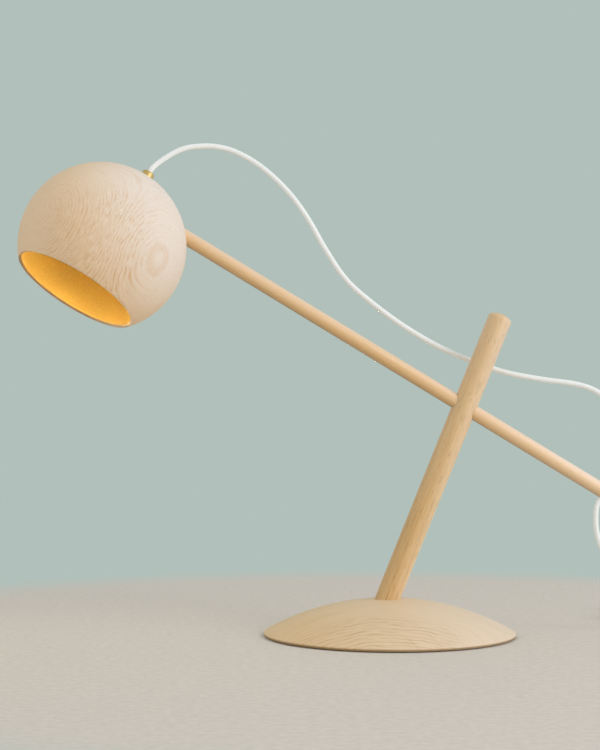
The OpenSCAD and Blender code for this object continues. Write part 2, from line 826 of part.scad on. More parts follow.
module switch_screws() {
    color(steel) at_switch() switch_screw_places() {
        rod(switch_head_d, switch_wall / 2, switch_head_top);
        rod(switch_screw_d, switch_wall, switch_base_h + switch_grip);
    }
}

// Tapered sleeves that hold the cord at both ends of the switch
module switch_sleeves() {
    inner = switch_l / 2 - switch_wall - seat_gap;
    color(cord_white) at_switch() for (turn = [0, 180])
        rotate([0, 0, turn]) translate([0, 0, switch_base_h]) rotate([0, 90, 0]) {
            rod(sleeve_flange_d, inner - switch_wall, inner);
            rod(sleeve_big_d, inner - switch_wall / 2, switch_l / 2);
            translate([0, 0, switch_l / 2]) cylinder(d1 = sleeve_big_d, d2 = sleeve_small_d, h = sleeve_l);
        }
}

module plug_relief() {
    color(plastic_white) at_plug() rotate([0, 90, 0])
        cylinder(d1 = relief_small_d, d2 = relief_big_d, h = relief_l);
}

module plug_corner(x, y, r) {
    translate([x, y, 0]) cylinder(r = r, h = plug_t, $fn = plug_facets);
}

module plug_body() {
    wide = plug_w / 2 - plug_front_r;
    narrow = relief_big_d / 2 + plug_collar - plug_back_r;
    color(plastic_white) at_plug() translate([relief_l, 0, -plug_t / 2]) hull() for (s = [-1, 1]) {
        plug_corner(plug_back_r, s * narrow, plug_back_r);
        plug_corner(plug_l / 2, s * wide, plug_front_r);
        plug_corner(plug_l - plug_front_r, s * wide, plug_front_r);
    }
}

module plug_pins() {
    color(steel) at_plug() for (s = [-1, 1])
        translate([relief_l + plug_l, s * pin_gap / 2, 0]) rotate([0, 90, 0])
            domed_rod(pin_d, 0, pin_l, pin_d / 4);
}

base();
ballast_ring();
ballast_screws();
felt_foot();
post();
post_screw();
arm_sleeve();
arm();
arm_insert();
pivot_screw();
pivot_washer();
friction_washer();
shade();
cord_gland();
gland_screw();
gland_nipple();
nipple_washer();
nipple_nut();
cord_lead();
holder_cap();
holder_insulator();
holder_contact();
holder_socket();
holder_sleeve();
bulb_tip();
bulb_cap();
bulb_collar();
bulb_glass();
cord_over();
cord_drop();
switch_base();
switch_cover();
switch_rocker();
switch_terminals();
switch_screws();
switch_sleeves();
cord_link();
cord_coil();
coil_tie();
cord_end();
plug_relief();
plug_body();
plug_pins();
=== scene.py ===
# %% [markdown]
# # A wooden table lamp
# A leaning post stands in a low domed base. A sloping arm slides through the post, and a turned ball shade
# swivels on the arm's upper end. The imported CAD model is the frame: each piece below is made where its solid
# stands, in metres. Hardware whose solid is right already keeps it and only gets a finish. The wood, the
# glass, the cord and the mouldings are modelled again, because they need eased edges and true curves.

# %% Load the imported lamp
import json
import math
import bpy
from mathutils import Matrix, Vector


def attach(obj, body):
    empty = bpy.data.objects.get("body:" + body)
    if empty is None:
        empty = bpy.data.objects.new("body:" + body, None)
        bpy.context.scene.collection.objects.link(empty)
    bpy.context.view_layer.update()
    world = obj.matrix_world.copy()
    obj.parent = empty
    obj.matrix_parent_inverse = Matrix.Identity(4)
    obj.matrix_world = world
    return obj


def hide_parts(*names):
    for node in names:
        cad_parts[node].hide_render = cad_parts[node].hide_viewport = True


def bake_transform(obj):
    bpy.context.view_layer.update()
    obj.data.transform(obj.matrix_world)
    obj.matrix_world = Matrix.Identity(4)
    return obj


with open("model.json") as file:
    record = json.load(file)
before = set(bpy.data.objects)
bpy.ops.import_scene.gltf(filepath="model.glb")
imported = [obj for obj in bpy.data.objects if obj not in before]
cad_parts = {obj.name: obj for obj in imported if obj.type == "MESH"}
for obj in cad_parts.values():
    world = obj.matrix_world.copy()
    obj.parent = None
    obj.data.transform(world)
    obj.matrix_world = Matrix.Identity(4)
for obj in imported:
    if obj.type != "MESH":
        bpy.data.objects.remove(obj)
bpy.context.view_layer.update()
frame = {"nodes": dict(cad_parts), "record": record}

MM = 0.001
nodes = frame["nodes"]
print("solids in the frame:", len(nodes))

# %% [markdown]
# ## The camera
# A picture taken with a level camera keeps upright things upright. The shift moves the picture up or down
# without tilting the camera, so that the row at the camera's own height falls where it should.

# %% Set up the camera
PICTURE_W, PICTURE_H = 600, 750
EYE_LEVEL_ROW, FOCAL_ROWS = 429.5, 1554
SENSOR_MM = 36
CAMERA_AT = (-0.0895, -1.554, 0.2056)
bpy.ops.object.camera_add(location=CAMERA_AT, rotation=(math.pi / 2, 0, 0))
camera = bpy.context.object
camera.data.sensor_fit = "HORIZONTAL"
camera.data.sensor_width = SENSOR_MM
camera.data.lens = SENSOR_MM * FOCAL_ROWS / PICTURE_W
camera.data.shift_y = (EYE_LEVEL_ROW - PICTURE_H / 2) / PICTURE_W
bpy.context.scene.camera = camera
print("lens", round(camera.data.lens, 2), "mm, shift", round(camera.data.shift_y, 4))

# %% [markdown]
# ## The places that the pieces share
# Post, arm and shade each have a frame of their own, as on the drawing: the post leans, the arm slopes
# through it, and the shade hangs turned about the arm, its axis not quite square to it. A matrix for each
# lets a piece be made upright at the origin, where it is easy to shape, and then be set into its place.

# %% The frames of post, arm and shade
QUARTER = math.pi / 2
POST_CROSS_Z, POST_LEAN = 41.7, math.radians(21.9)
ARM_UP, ARM_SLOPE = 201.1, math.radians(31.3)
HEAD_REACH, ARM_OFF = 389.9, 53.8
SHADE_ROLL, SHADE_TIP = math.radians(16), math.radians(1.8)


def shift(x, y, z):
    return Matrix.Translation(Vector((x, y, z)) * MM)


def turn(angle, axis):
    return Matrix.Rotation(angle, 4, axis)


post_place = shift(0, 0, POST_CROSS_Z) @ turn(POST_LEAN, "Y")
arm_cross = post_place @ Vector((0, 0, ARM_UP * MM))
arm_place = Matrix.Translation(arm_cross) @ turn(ARM_SLOPE, "Y")
rod_place = arm_place @ turn(QUARTER, "Y")
swivel_place = arm_place @ shift(-HEAD_REACH, 0, 0) @ turn(QUARTER, "Y")
hung_place = arm_place @ shift(-HEAD_REACH, 0, 0) @ turn(-SHADE_ROLL, "X") @ shift(0, 0, -ARM_OFF)
head_place = hung_place @ turn(-SHADE_TIP, "Y")
ball_centre = head_place.translation
print("ball centre", [round(v, 4) for v in ball_centre])

# %% [markdown]
# ## The cord
# The cord is one round white flex. It leaves the brass gland, arches behind the post, goes down through the
# arm's cross hole and drops to the switch. A few points were chosen along each stretch, the same as
# in the CAD source, and a smooth curve is drawn through them.

# %% The cord's free stretches
CORD_D = 5.5
GLAND_TOP_Z = 92
HOLE_AT, ARM_R = 163.9, 7.25
SWITCH_X, SWITCH_Y, SWITCH_AXIS_Z = 268, 116, 7
SWITCH_IN_Y, SWITCH_OUT_Y = 70, 162


def on(place, x, y, z):
    return place @ (Vector((x, y, z)) * MM)


def smooth_route(points, steps):
    """A Catmull-Rom curve through the points, with so many steps from each to the next"""
    route = []
    for i in range(len(points) - 1):
        a, b = points[max(i - 1, 0)], points[i]
        c, d = points[i + 1], points[min(i + 2, len(points) - 1)]
        for k in range(steps):
            t = k / steps
            route.append(0.5 * (2 * b + (c - a) * t + (2 * a - 5 * b + 4 * c - d) * t ** 2
                                + (3 * b - a - 3 * c + d) * t ** 3))
    return route + [points[-1]]


def millimetres(*points):
    return [Vector(p) * MM for p in points]


over_points = [on(head_place, 0, 0, GLAND_TOP_Z + CORD_D / 2)] + millimetres(
    (-236.9, 12.8, 470.6), (-231.9, 14.8, 475.2), (-225.8, 16.6, 479.9), (-218.6, 18.4, 484.7),
    (-209.4, 20.6, 489.4), (-197.7, 23.5, 492.6), (-177, 27.5, 493.7), (-154.8, 31, 488.5),
    (-129.3, 33, 474), (-103.8, 33, 450.7), (-83.4, 33, 424), (-63, 32.5, 388.6), (-42.6, 31.5, 358.7),
    (-17.1, 30, 335.4), (18.4, 28.5, 309.3), (59, 26.5, 286.3), (111.6, 24, 265.7), (153.9, 22, 256.8),
    (189, 19.5, 251.7), (209.5, 16, 244.4), (224, 11, 231.5), (232.5, 6.5, 214), (234.5, 3, 195),
    (231, 1, 175.5)) + [on(arm_place, HOLE_AT, 0, z) for z in (ARM_R + 8, ARM_R, -ARM_R)]
over_route = [on(head_place, 0, 0, GLAND_TOP_Z)] + smooth_route(over_points, 6)
drop_points = [on(arm_place, HOLE_AT, 0, z) for z in (-ARM_R, -ARM_R - CORD_D)] + millimetres(
    (206.5, 0, 124), (206.5, 1, 110), (209, 2, 97), (214, 4, 84), (221, 9, 69), (229, 16, 53.5),
    (239, 25, 38), (250, 36, 24.5), (260, 48, 14), (266.5, 59, 8.5),
    (SWITCH_X, SWITCH_IN_Y - CORD_D, SWITCH_AXIS_Z), (SWITCH_X, SWITCH_IN_Y, SWITCH_AXIS_Z))
drop_route = smooth_route(drop_points, 4)


def length_of(route):
    return sum((b - a).length for a, b in zip(route, route[1:]))


for title, route in (("over", over_route), ("drop", drop_route)):
    print("cord", title, len(route), "rings", round(length_of(route), 4), "m")

# %% [markdown]
# The rest of the cord is put away in a strapped coil beside the base, out of the picture. It winds in on a
# lower layer, climbs within half a turn and winds out on an upper one, so that both of its ends come out at
# the coil's outer side. A formula gives its points, because a coil is regular.

# %% The cord's coil
LINK_L, END_L = 28, 30
COIL_IN_R, COIL_STEP, COIL_TURNS, COIL_Z = 24, 6.1, 4.5, 3.75
TURN_RINGS, CLIMB_TURNS = 36, 0.5
COIL_MID = COIL_TURNS / 2
COIL_OUT_R = COIL_IN_R + COIL_STEP * COIL_MID
COIL_X, COIL_Y = SWITCH_X + COIL_OUT_R, SWITCH_OUT_Y + LINK_L + CORD_D
PLUG_X, PLUG_CORD_Y, PLUG_Z = COIL_X + COIL_OUT_R, SWITCH_OUT_Y - 2, 6.9


def coil_point(t):
    """A point of the coil: in on the lower layer, up where it reverses, out on the upper layer"""
    radius, angle = COIL_IN_R + COIL_STEP * abs(t - COIL_MID), math.pi - 2 * math.pi * t
    s = min(max((t - COIL_MID + CLIMB_TURNS / 2) / CLIMB_TURNS, 0), 1)
    return Vector((COIL_X + radius * math.cos(angle), COIL_Y + radius * math.sin(angle),
                   COIL_Z + COIL_STEP * s * s * (3 - 2 * s))) * MM


link_route = smooth_route(millimetres(*[
    (SWITCH_X, SWITCH_OUT_Y + y, SWITCH_AXIS_Z + s * (COIL_Z - SWITCH_AXIS_Z))
    for y, s in ((0, 0), (5, 0), (14, 0.5), (23, 1), (LINK_L, 1))]), 3)
end_route = smooth_route(millimetres(*[
    (PLUG_X, PLUG_CORD_Y + END_L - y, COIL_Z + COIL_STEP + s * (PLUG_Z - COIL_Z - COIL_STEP))
    for y, s in ((0, 0), (6, 0), (15, 0.5), (24, 1), (END_L, 1))]), 3)
coil_route = [coil_point(i / TURN_RINGS) for i in range(int(COIL_TURNS * TURN_RINGS) + 1)]
stored_route = link_route + coil_route + end_route
print("cord stored", len(stored_route), "rings", round(length_of(stored_route), 4), "m")

# %% [markdown]
# A curve with a round bevel is the plainest way to a cord of one thickness. It is turned into a mesh at once:
# each point of the route becomes one ring of the tube.

# %% Lay the cord


def pick(piece):
    bpy.ops.object.select_all(action="DESELECT")
    piece.select_set(True)
    bpy.context.view_layer.objects.active = piece


def lay_cord(name, route):
    line = bpy.data.curves.new(name, "CURVE")
    line.dimensions = "3D"
    line.bevel_depth = CORD_D / 2 * MM
    line.bevel_resolution = 6
    line.use_fill_caps = True
    spline = line.splines.new("POLY")
    spline.points.add(len(route) - 1)
    for point, place in zip(spline.points, route):
        point.co = (*place, 1)
    cord = bpy.data.objects.new(name, line)
    bpy.context.collection.objects.link(cord)
    pick(cord)
    bpy.ops.object.convert(target="MESH")
    bpy.ops.object.shade_smooth_by_angle(angle=math.radians(50))
    return cord


flex_over = lay_cord("flex_over", over_route)
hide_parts("cord_over")
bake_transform(flex_over)
flex_drop = lay_cord("flex_drop", drop_route)
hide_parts("cord_drop")
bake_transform(flex_drop)
flex_stored = lay_cord("flex_stored", stored_route)
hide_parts("cord_link", "cord_coil", "cord_end")
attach(flex_stored, "stand")
print("cord pieces:", flex_over.name, flex_drop.name, flex_stored.name)

# %% [markdown]
# ## Turned pieces
# Base, post, arm and shade all come off a lathe, so they are made the same way here: a half profile is drawn
# point by point from one vertex, and spun about the upright axis. That gives a plain mesh at once, with even
# rings and no modifier left on it.

# %% The lathe
WELD_M = 1e-6


def arc(centre_r, centre_z, radius, from_deg, to_deg, count):
    """Points of an arc, in millimetres; 0 degrees points outwards and 90 degrees up"""
    angles = [math.radians(from_deg + (to_deg - from_deg) * i / count) for i in range(count + 1)]
    return [(centre_r + radius * math.cos(a), centre_z + radius * math.sin(a)) for a in angles]


def edit_all(piece):
    """Opens a piece in edit mode with all of it selected"""
    pick(piece)
    bpy.ops.object.mode_set(mode="EDIT")
    bpy.ops.mesh.select_all(action="SELECT")


def close_outwards():
    """Turns all faces of the open mesh outwards and leaves edit mode"""
    bpy.ops.mesh.select_all(action="SELECT")
    bpy.ops.mesh.normals_make_consistent(inside=False)
    bpy.ops.object.mode_set(mode="OBJECT")


def lathe(name, profile, steps, place):
    """Spins a half profile of (radius, height) points, in millimetres, and sets the piece into its place"""
    bpy.ops.mesh.primitive_plane_add(size=MM)
    piece = bpy.context.object
    piece.name = name
    edit_all(piece)
    bpy.ops.mesh.select_mode(type="VERT")
    bpy.ops.mesh.merge(type="CENTER")
    bpy.ops.transform.translate(value=(profile[0][0] * MM, 0, profile[0][1] * MM))
    for (r0, z0), (r1, z1) in zip(profile, profile[1:]):
        step = ((r1 - r0) * MM, 0, (z1 - z0) * MM)
        bpy.ops.mesh.extrude_vertices_move(TRANSFORM_OT_translate={"value": step})
    bpy.ops.mesh.select_all(action="SELECT")
    bpy.ops.mesh.remove_doubles(threshold=WELD_M)
    bpy.ops.mesh.spin(steps=steps, angle=2 * math.pi, center=(0, 0, 0), axis=(0, 0, 1))
    bpy.ops.mesh.select_all(action="SELECT")
    bpy.ops.mesh.remove_doubles(threshold=2 * WELD_M)
    close_outwards()
    piece.matrix_world = place
    bpy.ops.object.transform_apply(location=True, rotation=True, scale=True)
    return piece


print("points closer than", WELD_M, "m are welded")

# %% [markdown]
# The holes that cross the lathe's axis are bored afterwards, as on the bench: a turned rod of the hole's
# shape is the cutter, and a Boolean modifier takes it out of the piece. Shading by angle then shows round
# faces as smooth and keeps real edges crisp.

# %% Boring and smoothing


def rod(*steps):
    """The half profile of a stepped rod; a step is its radius and the heights where it starts and ends"""
    sides = [(radius, z) for radius, low, high in steps for z in (low, high)]
    return [(0, steps[0][1])] + sides + [(0, steps[-1][2])]


def bore(piece, cutter):
    """Takes the cutter's shape out of a piece"""
    cut = piece.modifiers.new("bore", "BOOLEAN")
    cut.operation = "DIFFERENCE"
    cut.solver = "EXACT"
    cut.object = cutter
    pick(piece)
    bpy.ops.object.modifier_apply(modifier=cut.name)
    bpy.data.objects.remove(cutter, do_unlink=True)


def smooth(piece, angle=35):
    pick(piece)
    bpy.ops.object.shade_smooth_by_angle(angle=math.radians(angle))
    print(piece.name, len(piece.data.polygons), "faces")


# %% [markdown]
# ### The shade
# The ball is hollow, with a thin wall at the mouth and thick wood at the crown, where the arm and the gland
# hold on. One closed profile goes over the outside, round the mouth's rim, which is cut square to the wall
# and eased, up the inside, over the hollow's ceiling and through the wiring pocket. The arm's socket and the
# swivel's hole are bored across it.

# %% Turn the shade
BALL_R, BALL_IN_R, MOUTH_Z = 83, 79.5, -53.5
CEILING_R, CEILING_MID_Z = 100, -62
WALL_STOP_DEG, CEILING_START_DEG = 4, 3
POCKET_R, POCKET_TOP_Z, NIPPLE_HOLE_R = 17, 66, 5.1
SEAT_R, SEAT_Z = 6.65, 82.5
EASE, EASE_DEG = 0.5, 0.4
SWIVEL_HEAD_R, SWIVEL_SCREW_R, ARM_SOCKET_R = 6, 2.35, 7.3
SWIVEL_HEAD_AT, SWIVEL_WEB_AT, ARM_SOCKET_AT, OUT_OF_BALL = 8.5, 18.5, 24.5, 120
crown_deg = math.degrees(math.acos(SEAT_R / BALL_R))
mouth_deg = math.degrees(math.asin(MOUTH_Z / BALL_R))
corner_z = (CEILING_R ** 2 - CEILING_MID_Z ** 2 - BALL_IN_R ** 2) / (-2 * CEILING_MID_Z)
corner_deg = math.degrees(math.asin(corner_z / BALL_IN_R))
spring_deg = math.degrees(math.asin((corner_z - CEILING_MID_Z) / CEILING_R))
pocket_deg = math.degrees(math.acos(POCKET_R / CEILING_R))


def spoke(radius, above):
    """A point of the profile at that distance from the ball's centre, so many degrees above the rim"""
    angle = math.radians(mouth_deg + above)
    return radius * math.cos(angle), radius * math.sin(angle)


shade_profile = (
    [(NIPPLE_HOLE_R, POCKET_TOP_Z), (NIPPLE_HOLE_R, SEAT_Z), (SEAT_R, SEAT_Z)]
    + arc(0, 0, BALL_R, crown_deg, mouth_deg + EASE_DEG, 88)
    + [spoke(BALL_R - 0.25 * EASE, 0.25 * EASE_DEG), spoke(BALL_R - EASE, 0), spoke(BALL_IN_R + EASE, 0),
       spoke(BALL_IN_R + 0.25 * EASE, 0.25 * EASE_DEG)]
    + arc(0, 0, BALL_IN_R, mouth_deg + EASE_DEG, corner_deg - WALL_STOP_DEG, 26)
    + arc(0, CEILING_MID_Z, CEILING_R, spring_deg + CEILING_START_DEG, pocket_deg, 30)
    + [(POCKET_R, POCKET_TOP_Z), (NIPPLE_HOLE_R, POCKET_TOP_Z)])
swivel_hole = rod((SWIVEL_HEAD_R, SWIVEL_HEAD_AT, SWIVEL_WEB_AT),
                  (SWIVEL_SCREW_R, SWIVEL_WEB_AT, ARM_SOCKET_AT),
                  (ARM_SOCKET_R, ARM_SOCKET_AT, OUT_OF_BALL))
ball_shade = lathe("ball_shade", shade_profile, 144, head_place)
bore(ball_shade, lathe("socket_cutter", swivel_hole, 64, swivel_place))
smooth(ball_shade)

# %% [markdown]
# ### The base
# The base is one low dome whose rim is only a few millimetres high and drawn in a little at the table, so a
# thin shadow runs under it. A groove below holds the steel ring, and a slanting hole takes the post.

# %% Turn the base
BASE_R, BASE_TOP, FOOT_T, EDGE_Z = 126, 36.6, 0.8, 3.2
RING_IN_R, RING_OUT_R, RING_TOP_Z = 35.9, 95.1, 8.9
SCREW_HEAD_R, SCREW_R, POST_HOLE_R = 6.4, 3.1, 12.06
BELOW_BASE, SCREW_SEAT, POST_FOOT, ABOVE_BASE = -83, -37.74, -25, 60
dome_rise = BASE_TOP - EDGE_Z
DOME_R = (BASE_R ** 2 + dome_rise ** 2) / (2 * dome_rise)
edge_deg = math.degrees(math.acos((BASE_R - 0.9) / DOME_R))
groove = [(0, FOOT_T), (RING_IN_R, FOOT_T), (RING_IN_R, RING_TOP_Z), (RING_OUT_R, RING_TOP_Z),
          (RING_OUT_R, FOOT_T)]
eased_rim = [(BASE_R - 1.4, FOOT_T), (BASE_R - 0.7, FOOT_T + 0.35), (BASE_R - 0.1, EDGE_Z - 0.6),
             (BASE_R - 0.25, EDGE_Z - 0.05)]
base_profile = groove + eased_rim + arc(0, BASE_TOP - DOME_R, DOME_R, edge_deg, 90, 72)
post_hole = rod((SCREW_HEAD_R, BELOW_BASE, SCREW_SEAT), (SCREW_R, SCREW_SEAT, POST_FOOT),
                (POST_HOLE_R, POST_FOOT, ABOVE_BASE))
domed_base = lathe("domed_base", base_profile, 160, Matrix.Identity(4))
bore(domed_base, lathe("post_hole_cutter", post_hole, 72, post_place))
smooth(domed_base)

# %% [markdown]
# ### Post and arm
# Both are plain dowels with a domed end, so their profiles are straight lines with an eased arc at the top.
# The post gets the cross bore that the arm slides in, and the arm gets the hole that the cord goes through.

# %% Turn the post and the arm
POST_R, POST_TOP, POST_CROWN, POST_EASE = 12, 301, 4, 1.6
SCREW_TOP, LINER_R = 23.2, 8.1
ARM_HEAD, ARM_TAIL, ARM_CROWN, ARM_EASE = -365, 190, 2.5, 1.2
INSERT_R, INSERT_END, PILOT_END = 4.1, -349.9, -349.4
CORD_HOLE_R = 3.1


def domed_end(radius, top, rise, ease):
    """The outline of a dowel's domed end, with its corner eased"""
    end_r = (radius ** 2 + rise ** 2) / (2 * rise)
    shoulder = math.degrees(math.asin((end_r - rise) / end_r))
    start = shoulder + math.degrees(ease / end_r)
    return ([(radius, top - rise - ease), (radius - 0.08 * ease, top - rise - 0.35 * ease)]
            + arc(0, top - end_r, end_r, start, 90, 16))


post_profile = ([(0, SCREW_TOP), (SCREW_R, SCREW_TOP), (SCREW_R, POST_FOOT), (POST_R, POST_FOOT)]
                + [(POST_R, z) for z in range(0, POST_TOP - POST_CROWN, 33)]
                + domed_end(POST_R, POST_TOP, POST_CROWN, POST_EASE))
lean_post = lathe("lean_post", post_profile, 72, post_place)
bore(lean_post, lathe("arm_bore_cutter", rod((LINER_R, -30, 30)), 64, rod_place))
smooth(lean_post)
arm_profile = ([(0, PILOT_END), (SWIVEL_SCREW_R, PILOT_END), (SWIVEL_SCREW_R, INSERT_END),
                (INSERT_R, INSERT_END), (INSERT_R, ARM_HEAD), (ARM_R, ARM_HEAD)]
               + [(ARM_R, z) for z in range(-330, 180, 30)]
               + domed_end(ARM_R, ARM_TAIL, ARM_CROWN, ARM_EASE))
slide_arm = lathe("slide_arm", arm_profile, 64, rod_place)
bore(slide_arm, lathe("cord_hole_cutter", rod((CORD_HOLE_R, -20, 20)), 48, arm_place @ shift(HOLE_AT, 0, 0)))
smooth(slide_arm)

# %% [markdown]
# ### The brass gland
# A small turned brass bush on the crown lets the cord out. Its corners are broken, so a fine groove marks
# where it sits on the wood, and its mouth is rounded so that it can't cut the cord.

# %% Turn the gland
GLAND_R, GLAND_END_R, CORD_BORE_R, NIPPLE_TOP_Z = 6.25, 5.7, 2.95, 86.6
GRUB_R, GRUB_Z = 1.3, 89.35
outer_side = [(NIPPLE_HOLE_R, SEAT_Z), (GLAND_R - 0.3, SEAT_Z), (GLAND_R, SEAT_Z + 0.3),
              (GLAND_R, GLAND_TOP_Z - 1), (GLAND_R - 0.1, GLAND_TOP_Z - 0.75),
              (GLAND_END_R + 0.15, GLAND_TOP_Z - 0.15), (GLAND_END_R - 0.1, GLAND_TOP_Z)]
mouth_side = [(CORD_BORE_R + 0.6, GLAND_TOP_Z), (CORD_BORE_R + 0.15, GLAND_TOP_Z - 0.2),
              (CORD_BORE_R, GLAND_TOP_Z - 0.7), (CORD_BORE_R, NIPPLE_TOP_Z), (NIPPLE_HOLE_R, NIPPLE_TOP_Z),
              (NIPPLE_HOLE_R, SEAT_Z)]
brass_gland = lathe("brass_gland", outer_side + mouth_side, 64, head_place)
bore(brass_gland, lathe("grub_cutter", rod((GRUB_R, 0, 12)), 32,
                        head_place @ shift(0, 0, GRUB_Z) @ turn(-QUARTER, "X")))
smooth(brass_gland)

# %% [markdown]
# ### The bulb
# A small frosted ball bulb hides high in the shade. Its glass is a thin shell that is drawn in at the collar.

# %% Blow the bulb's glass
BULB_R, BULB_Z, GLASS_T, COLLAR_R = 20, -8.7, 1, 11
neck_deg = math.degrees(math.acos(COLLAR_R / BULB_R))
neck_in_deg = math.degrees(math.acos((COLLAR_R - GLASS_T) / (BULB_R - GLASS_T)))
bulb_shell = lathe("bulb_shell", arc(0, BULB_Z, BULB_R, -90, neck_deg, 40)
                   + arc(0, BULB_Z, BULB_R - GLASS_T, neck_in_deg, -90, 40), 64, head_place)
smooth(bulb_shell)

# %% [markdown]
# ## The cord's switch
# The switch is two moulded half shells with a rocker between them. Mouldings have rounded corners, and a cube
# gets them from bevels: its upright edges by the corner radius, then one rim by less. A test on an edge's two
# ends picks the right edges, so that none has to be counted.

# %% Blocks with rounded edges
NEAR = 0.01


def pick_edges(piece, test):
    """Selects, in edit mode, the edges whose two ends together pass the test"""
    bpy.ops.mesh.select_mode(type="EDGE")
    bpy.ops.mesh.select_all(action="DESELECT")
    bpy.ops.object.mode_set(mode="OBJECT")
    points = piece.data.vertices
    for edge in piece.data.edges:
        a, b = (points[i].co / MM for i in edge.vertices)
        edge.select = test(a, b)
    bpy.ops.object.mode_set(mode="EDIT")


def bevel(piece, test, size, segments):
    """Rounds the edges whose two ends pass the test"""
    pick_edges(piece, test)
    bpy.ops.mesh.bevel(offset=size * MM, segments=segments, affect="EDGES")


def rounded_block(name, size, low_z, corner, ease=0.0, ease_at=None):
    """A cube with rounded upright edges and, at one height, an eased rim; all in millimetres"""
    bpy.ops.mesh.primitive_cube_add(size=1)
    piece = bpy.context.object
    piece.name = name
    edit_all(piece)
    bpy.ops.transform.resize(value=[side * MM for side in size])
    bpy.ops.transform.translate(value=(0, 0, (low_z + size[2] / 2) * MM))
    if corner:
        bevel(piece, lambda a, b: abs(a.z - b.z) > 0.1, corner, 8)
    if ease:
        bevel(piece, lambda a, b: max(abs(a.z - ease_at), abs(b.z - ease_at)) < NEAR, ease, 5)
    close_outwards()
    return piece


def settle(piece, place):
    pick(piece)
    piece.matrix_world = place @ piece.matrix_world
    bpy.ops.object.transform_apply(location=True, rotation=True, scale=True)


print("heights within", NEAR, "mm count as equal")

# %% [markdown]
# Each shell is such a block. A smaller one hollows it, and round and square cutters open it for the cord, the
# screws and the rocker. Cutting a full block gives an even wall more simply than building the wall itself.

# %% Mould the switch's shells
SWITCH_L, SWITCH_W, SWITCH_ROUND, SHELL_T = 60, 26, 8, 1.8
BASE_H, COVER_H = 7, 7.5
TRAY_EASE, LID_EASE = 1.6, 2.2
SLEEVE_HOLE_R = 4.1
SCREW_X, SCREW_Y, SCREW_HOLE_R, SCREW_DEPTH = 22, 9.1, 2.5, 2.85
WINDOW, WINDOW_ROUND = (23, 12, 6), 0.8
switch_top = BASE_H + COVER_H
switch_place = shift(SWITCH_X, SWITCH_Y, 0) @ turn(QUARTER, "Z")


def cord_hole():
    """A rod along the cord's axis, as thick as the sleeves at the switch's ends"""
    lying = shift(0, 0, SWITCH_AXIS_Z) @ turn(QUARTER, "Y")
    return lathe("cord_hole", rod((SLEEVE_HOLE_R, -60, 60)), 48, lying)


def hollow(low_z, height):
    inner = (SWITCH_L - 2 * SHELL_T, SWITCH_W - 2 * SHELL_T, height)
    return rounded_block("hollow", inner, low_z, SWITCH_ROUND - SHELL_T)


switch_tray = rounded_block("switch_tray", (SWITCH_L, SWITCH_W, BASE_H), 0, SWITCH_ROUND, TRAY_EASE, 0)
bore(switch_tray, hollow(SHELL_T, BASE_H))
bore(switch_tray, cord_hole())
for side in (-1, 1):
    bore(switch_tray, lathe("screw_hole", rod((SCREW_HOLE_R, -1, SCREW_DEPTH)), 32,
                            shift(side * SCREW_X, side * SCREW_Y, 0)))
switch_lid = rounded_block("switch_lid", (SWITCH_L, SWITCH_W, COVER_H), BASE_H, SWITCH_ROUND, LID_EASE,
                           switch_top)
bore(switch_lid, hollow(BASE_H - 1, COVER_H + 1 - SHELL_T))
bore(switch_lid, cord_hole())
bore(switch_lid, rounded_block("window", WINDOW, switch_top - WINDOW[2] / 2, WINDOW_ROUND))
for shell in (switch_tray, switch_lid):
    settle(shell, switch_place)
    smooth(shell)

# %% [markdown]
# The rocker is a bent bar: two faces that meet over its pivot. It starts as a cube that is cut in the middle,
# where the middle of the top is lowered, and it stands tipped towards the lamp.

# %% Mould the rocker
ROCKER_L, ROCKER_W, ROCKER_Z, ROCKER_TIP = 21, 11, 10.6, math.radians(7)
ROCKER_HIGH, ROCKER_RISE, ROCKER_LOW, ROCKER_EASE = 5.1, 1.29, -0.4, 0.7
rocker_size = (ROCKER_L, ROCKER_W, ROCKER_HIGH + ROCKER_RISE - ROCKER_LOW)


def in_middle(a, b):
    return max(abs(a.x), abs(b.x)) < NEAR


rocker_key = rounded_block("rocker_key", rocker_size, ROCKER_LOW, 0)
edit_all(rocker_key)
bpy.ops.mesh.bisect(plane_co=(0, 0, 0), plane_no=(1, 0, 0))
pick_edges(rocker_key, lambda a, b: in_middle(a, b) and min(a.z, b.z) > ROCKER_HIGH)
bpy.ops.transform.translate(value=(0, 0, -ROCKER_RISE * MM))
bevel(rocker_key, lambda a, b: min(a.z, b.z) > ROCKER_HIGH - 0.1 and not in_middle(a, b), ROCKER_EASE, 4)
bpy.ops.object.mode_set(mode="OBJECT")
settle(rocker_key, switch_place @ shift(0, 0, ROCKER_Z) @ turn(-ROCKER_TIP, "Y"))
smooth(rocker_key)

# %% [markdown]
# The cord enters the switch through two soft tapered sleeves, and the plug through a longer one. Rings cut
# into them let them bend. They are turned like the wood, with the rings drawn into the profile.

# %% Turn the sleeves
SLEEVE_L, SLEEVE_R, SLEEVE_END_R, SLEEVE_RINGS = 16, 4, 3.4, 4
RELIEF_L, RELIEF_R, RELIEF_END_R, RELIEF_RINGS = 24, 5, 3.6, 6
SLEEVE_BORE_R = CORD_D / 2 + 0.02
GROOVE_DEPTH, GROOVE_TOP, GROOVE_FLOOR = 0.55, 0.28, 0.12


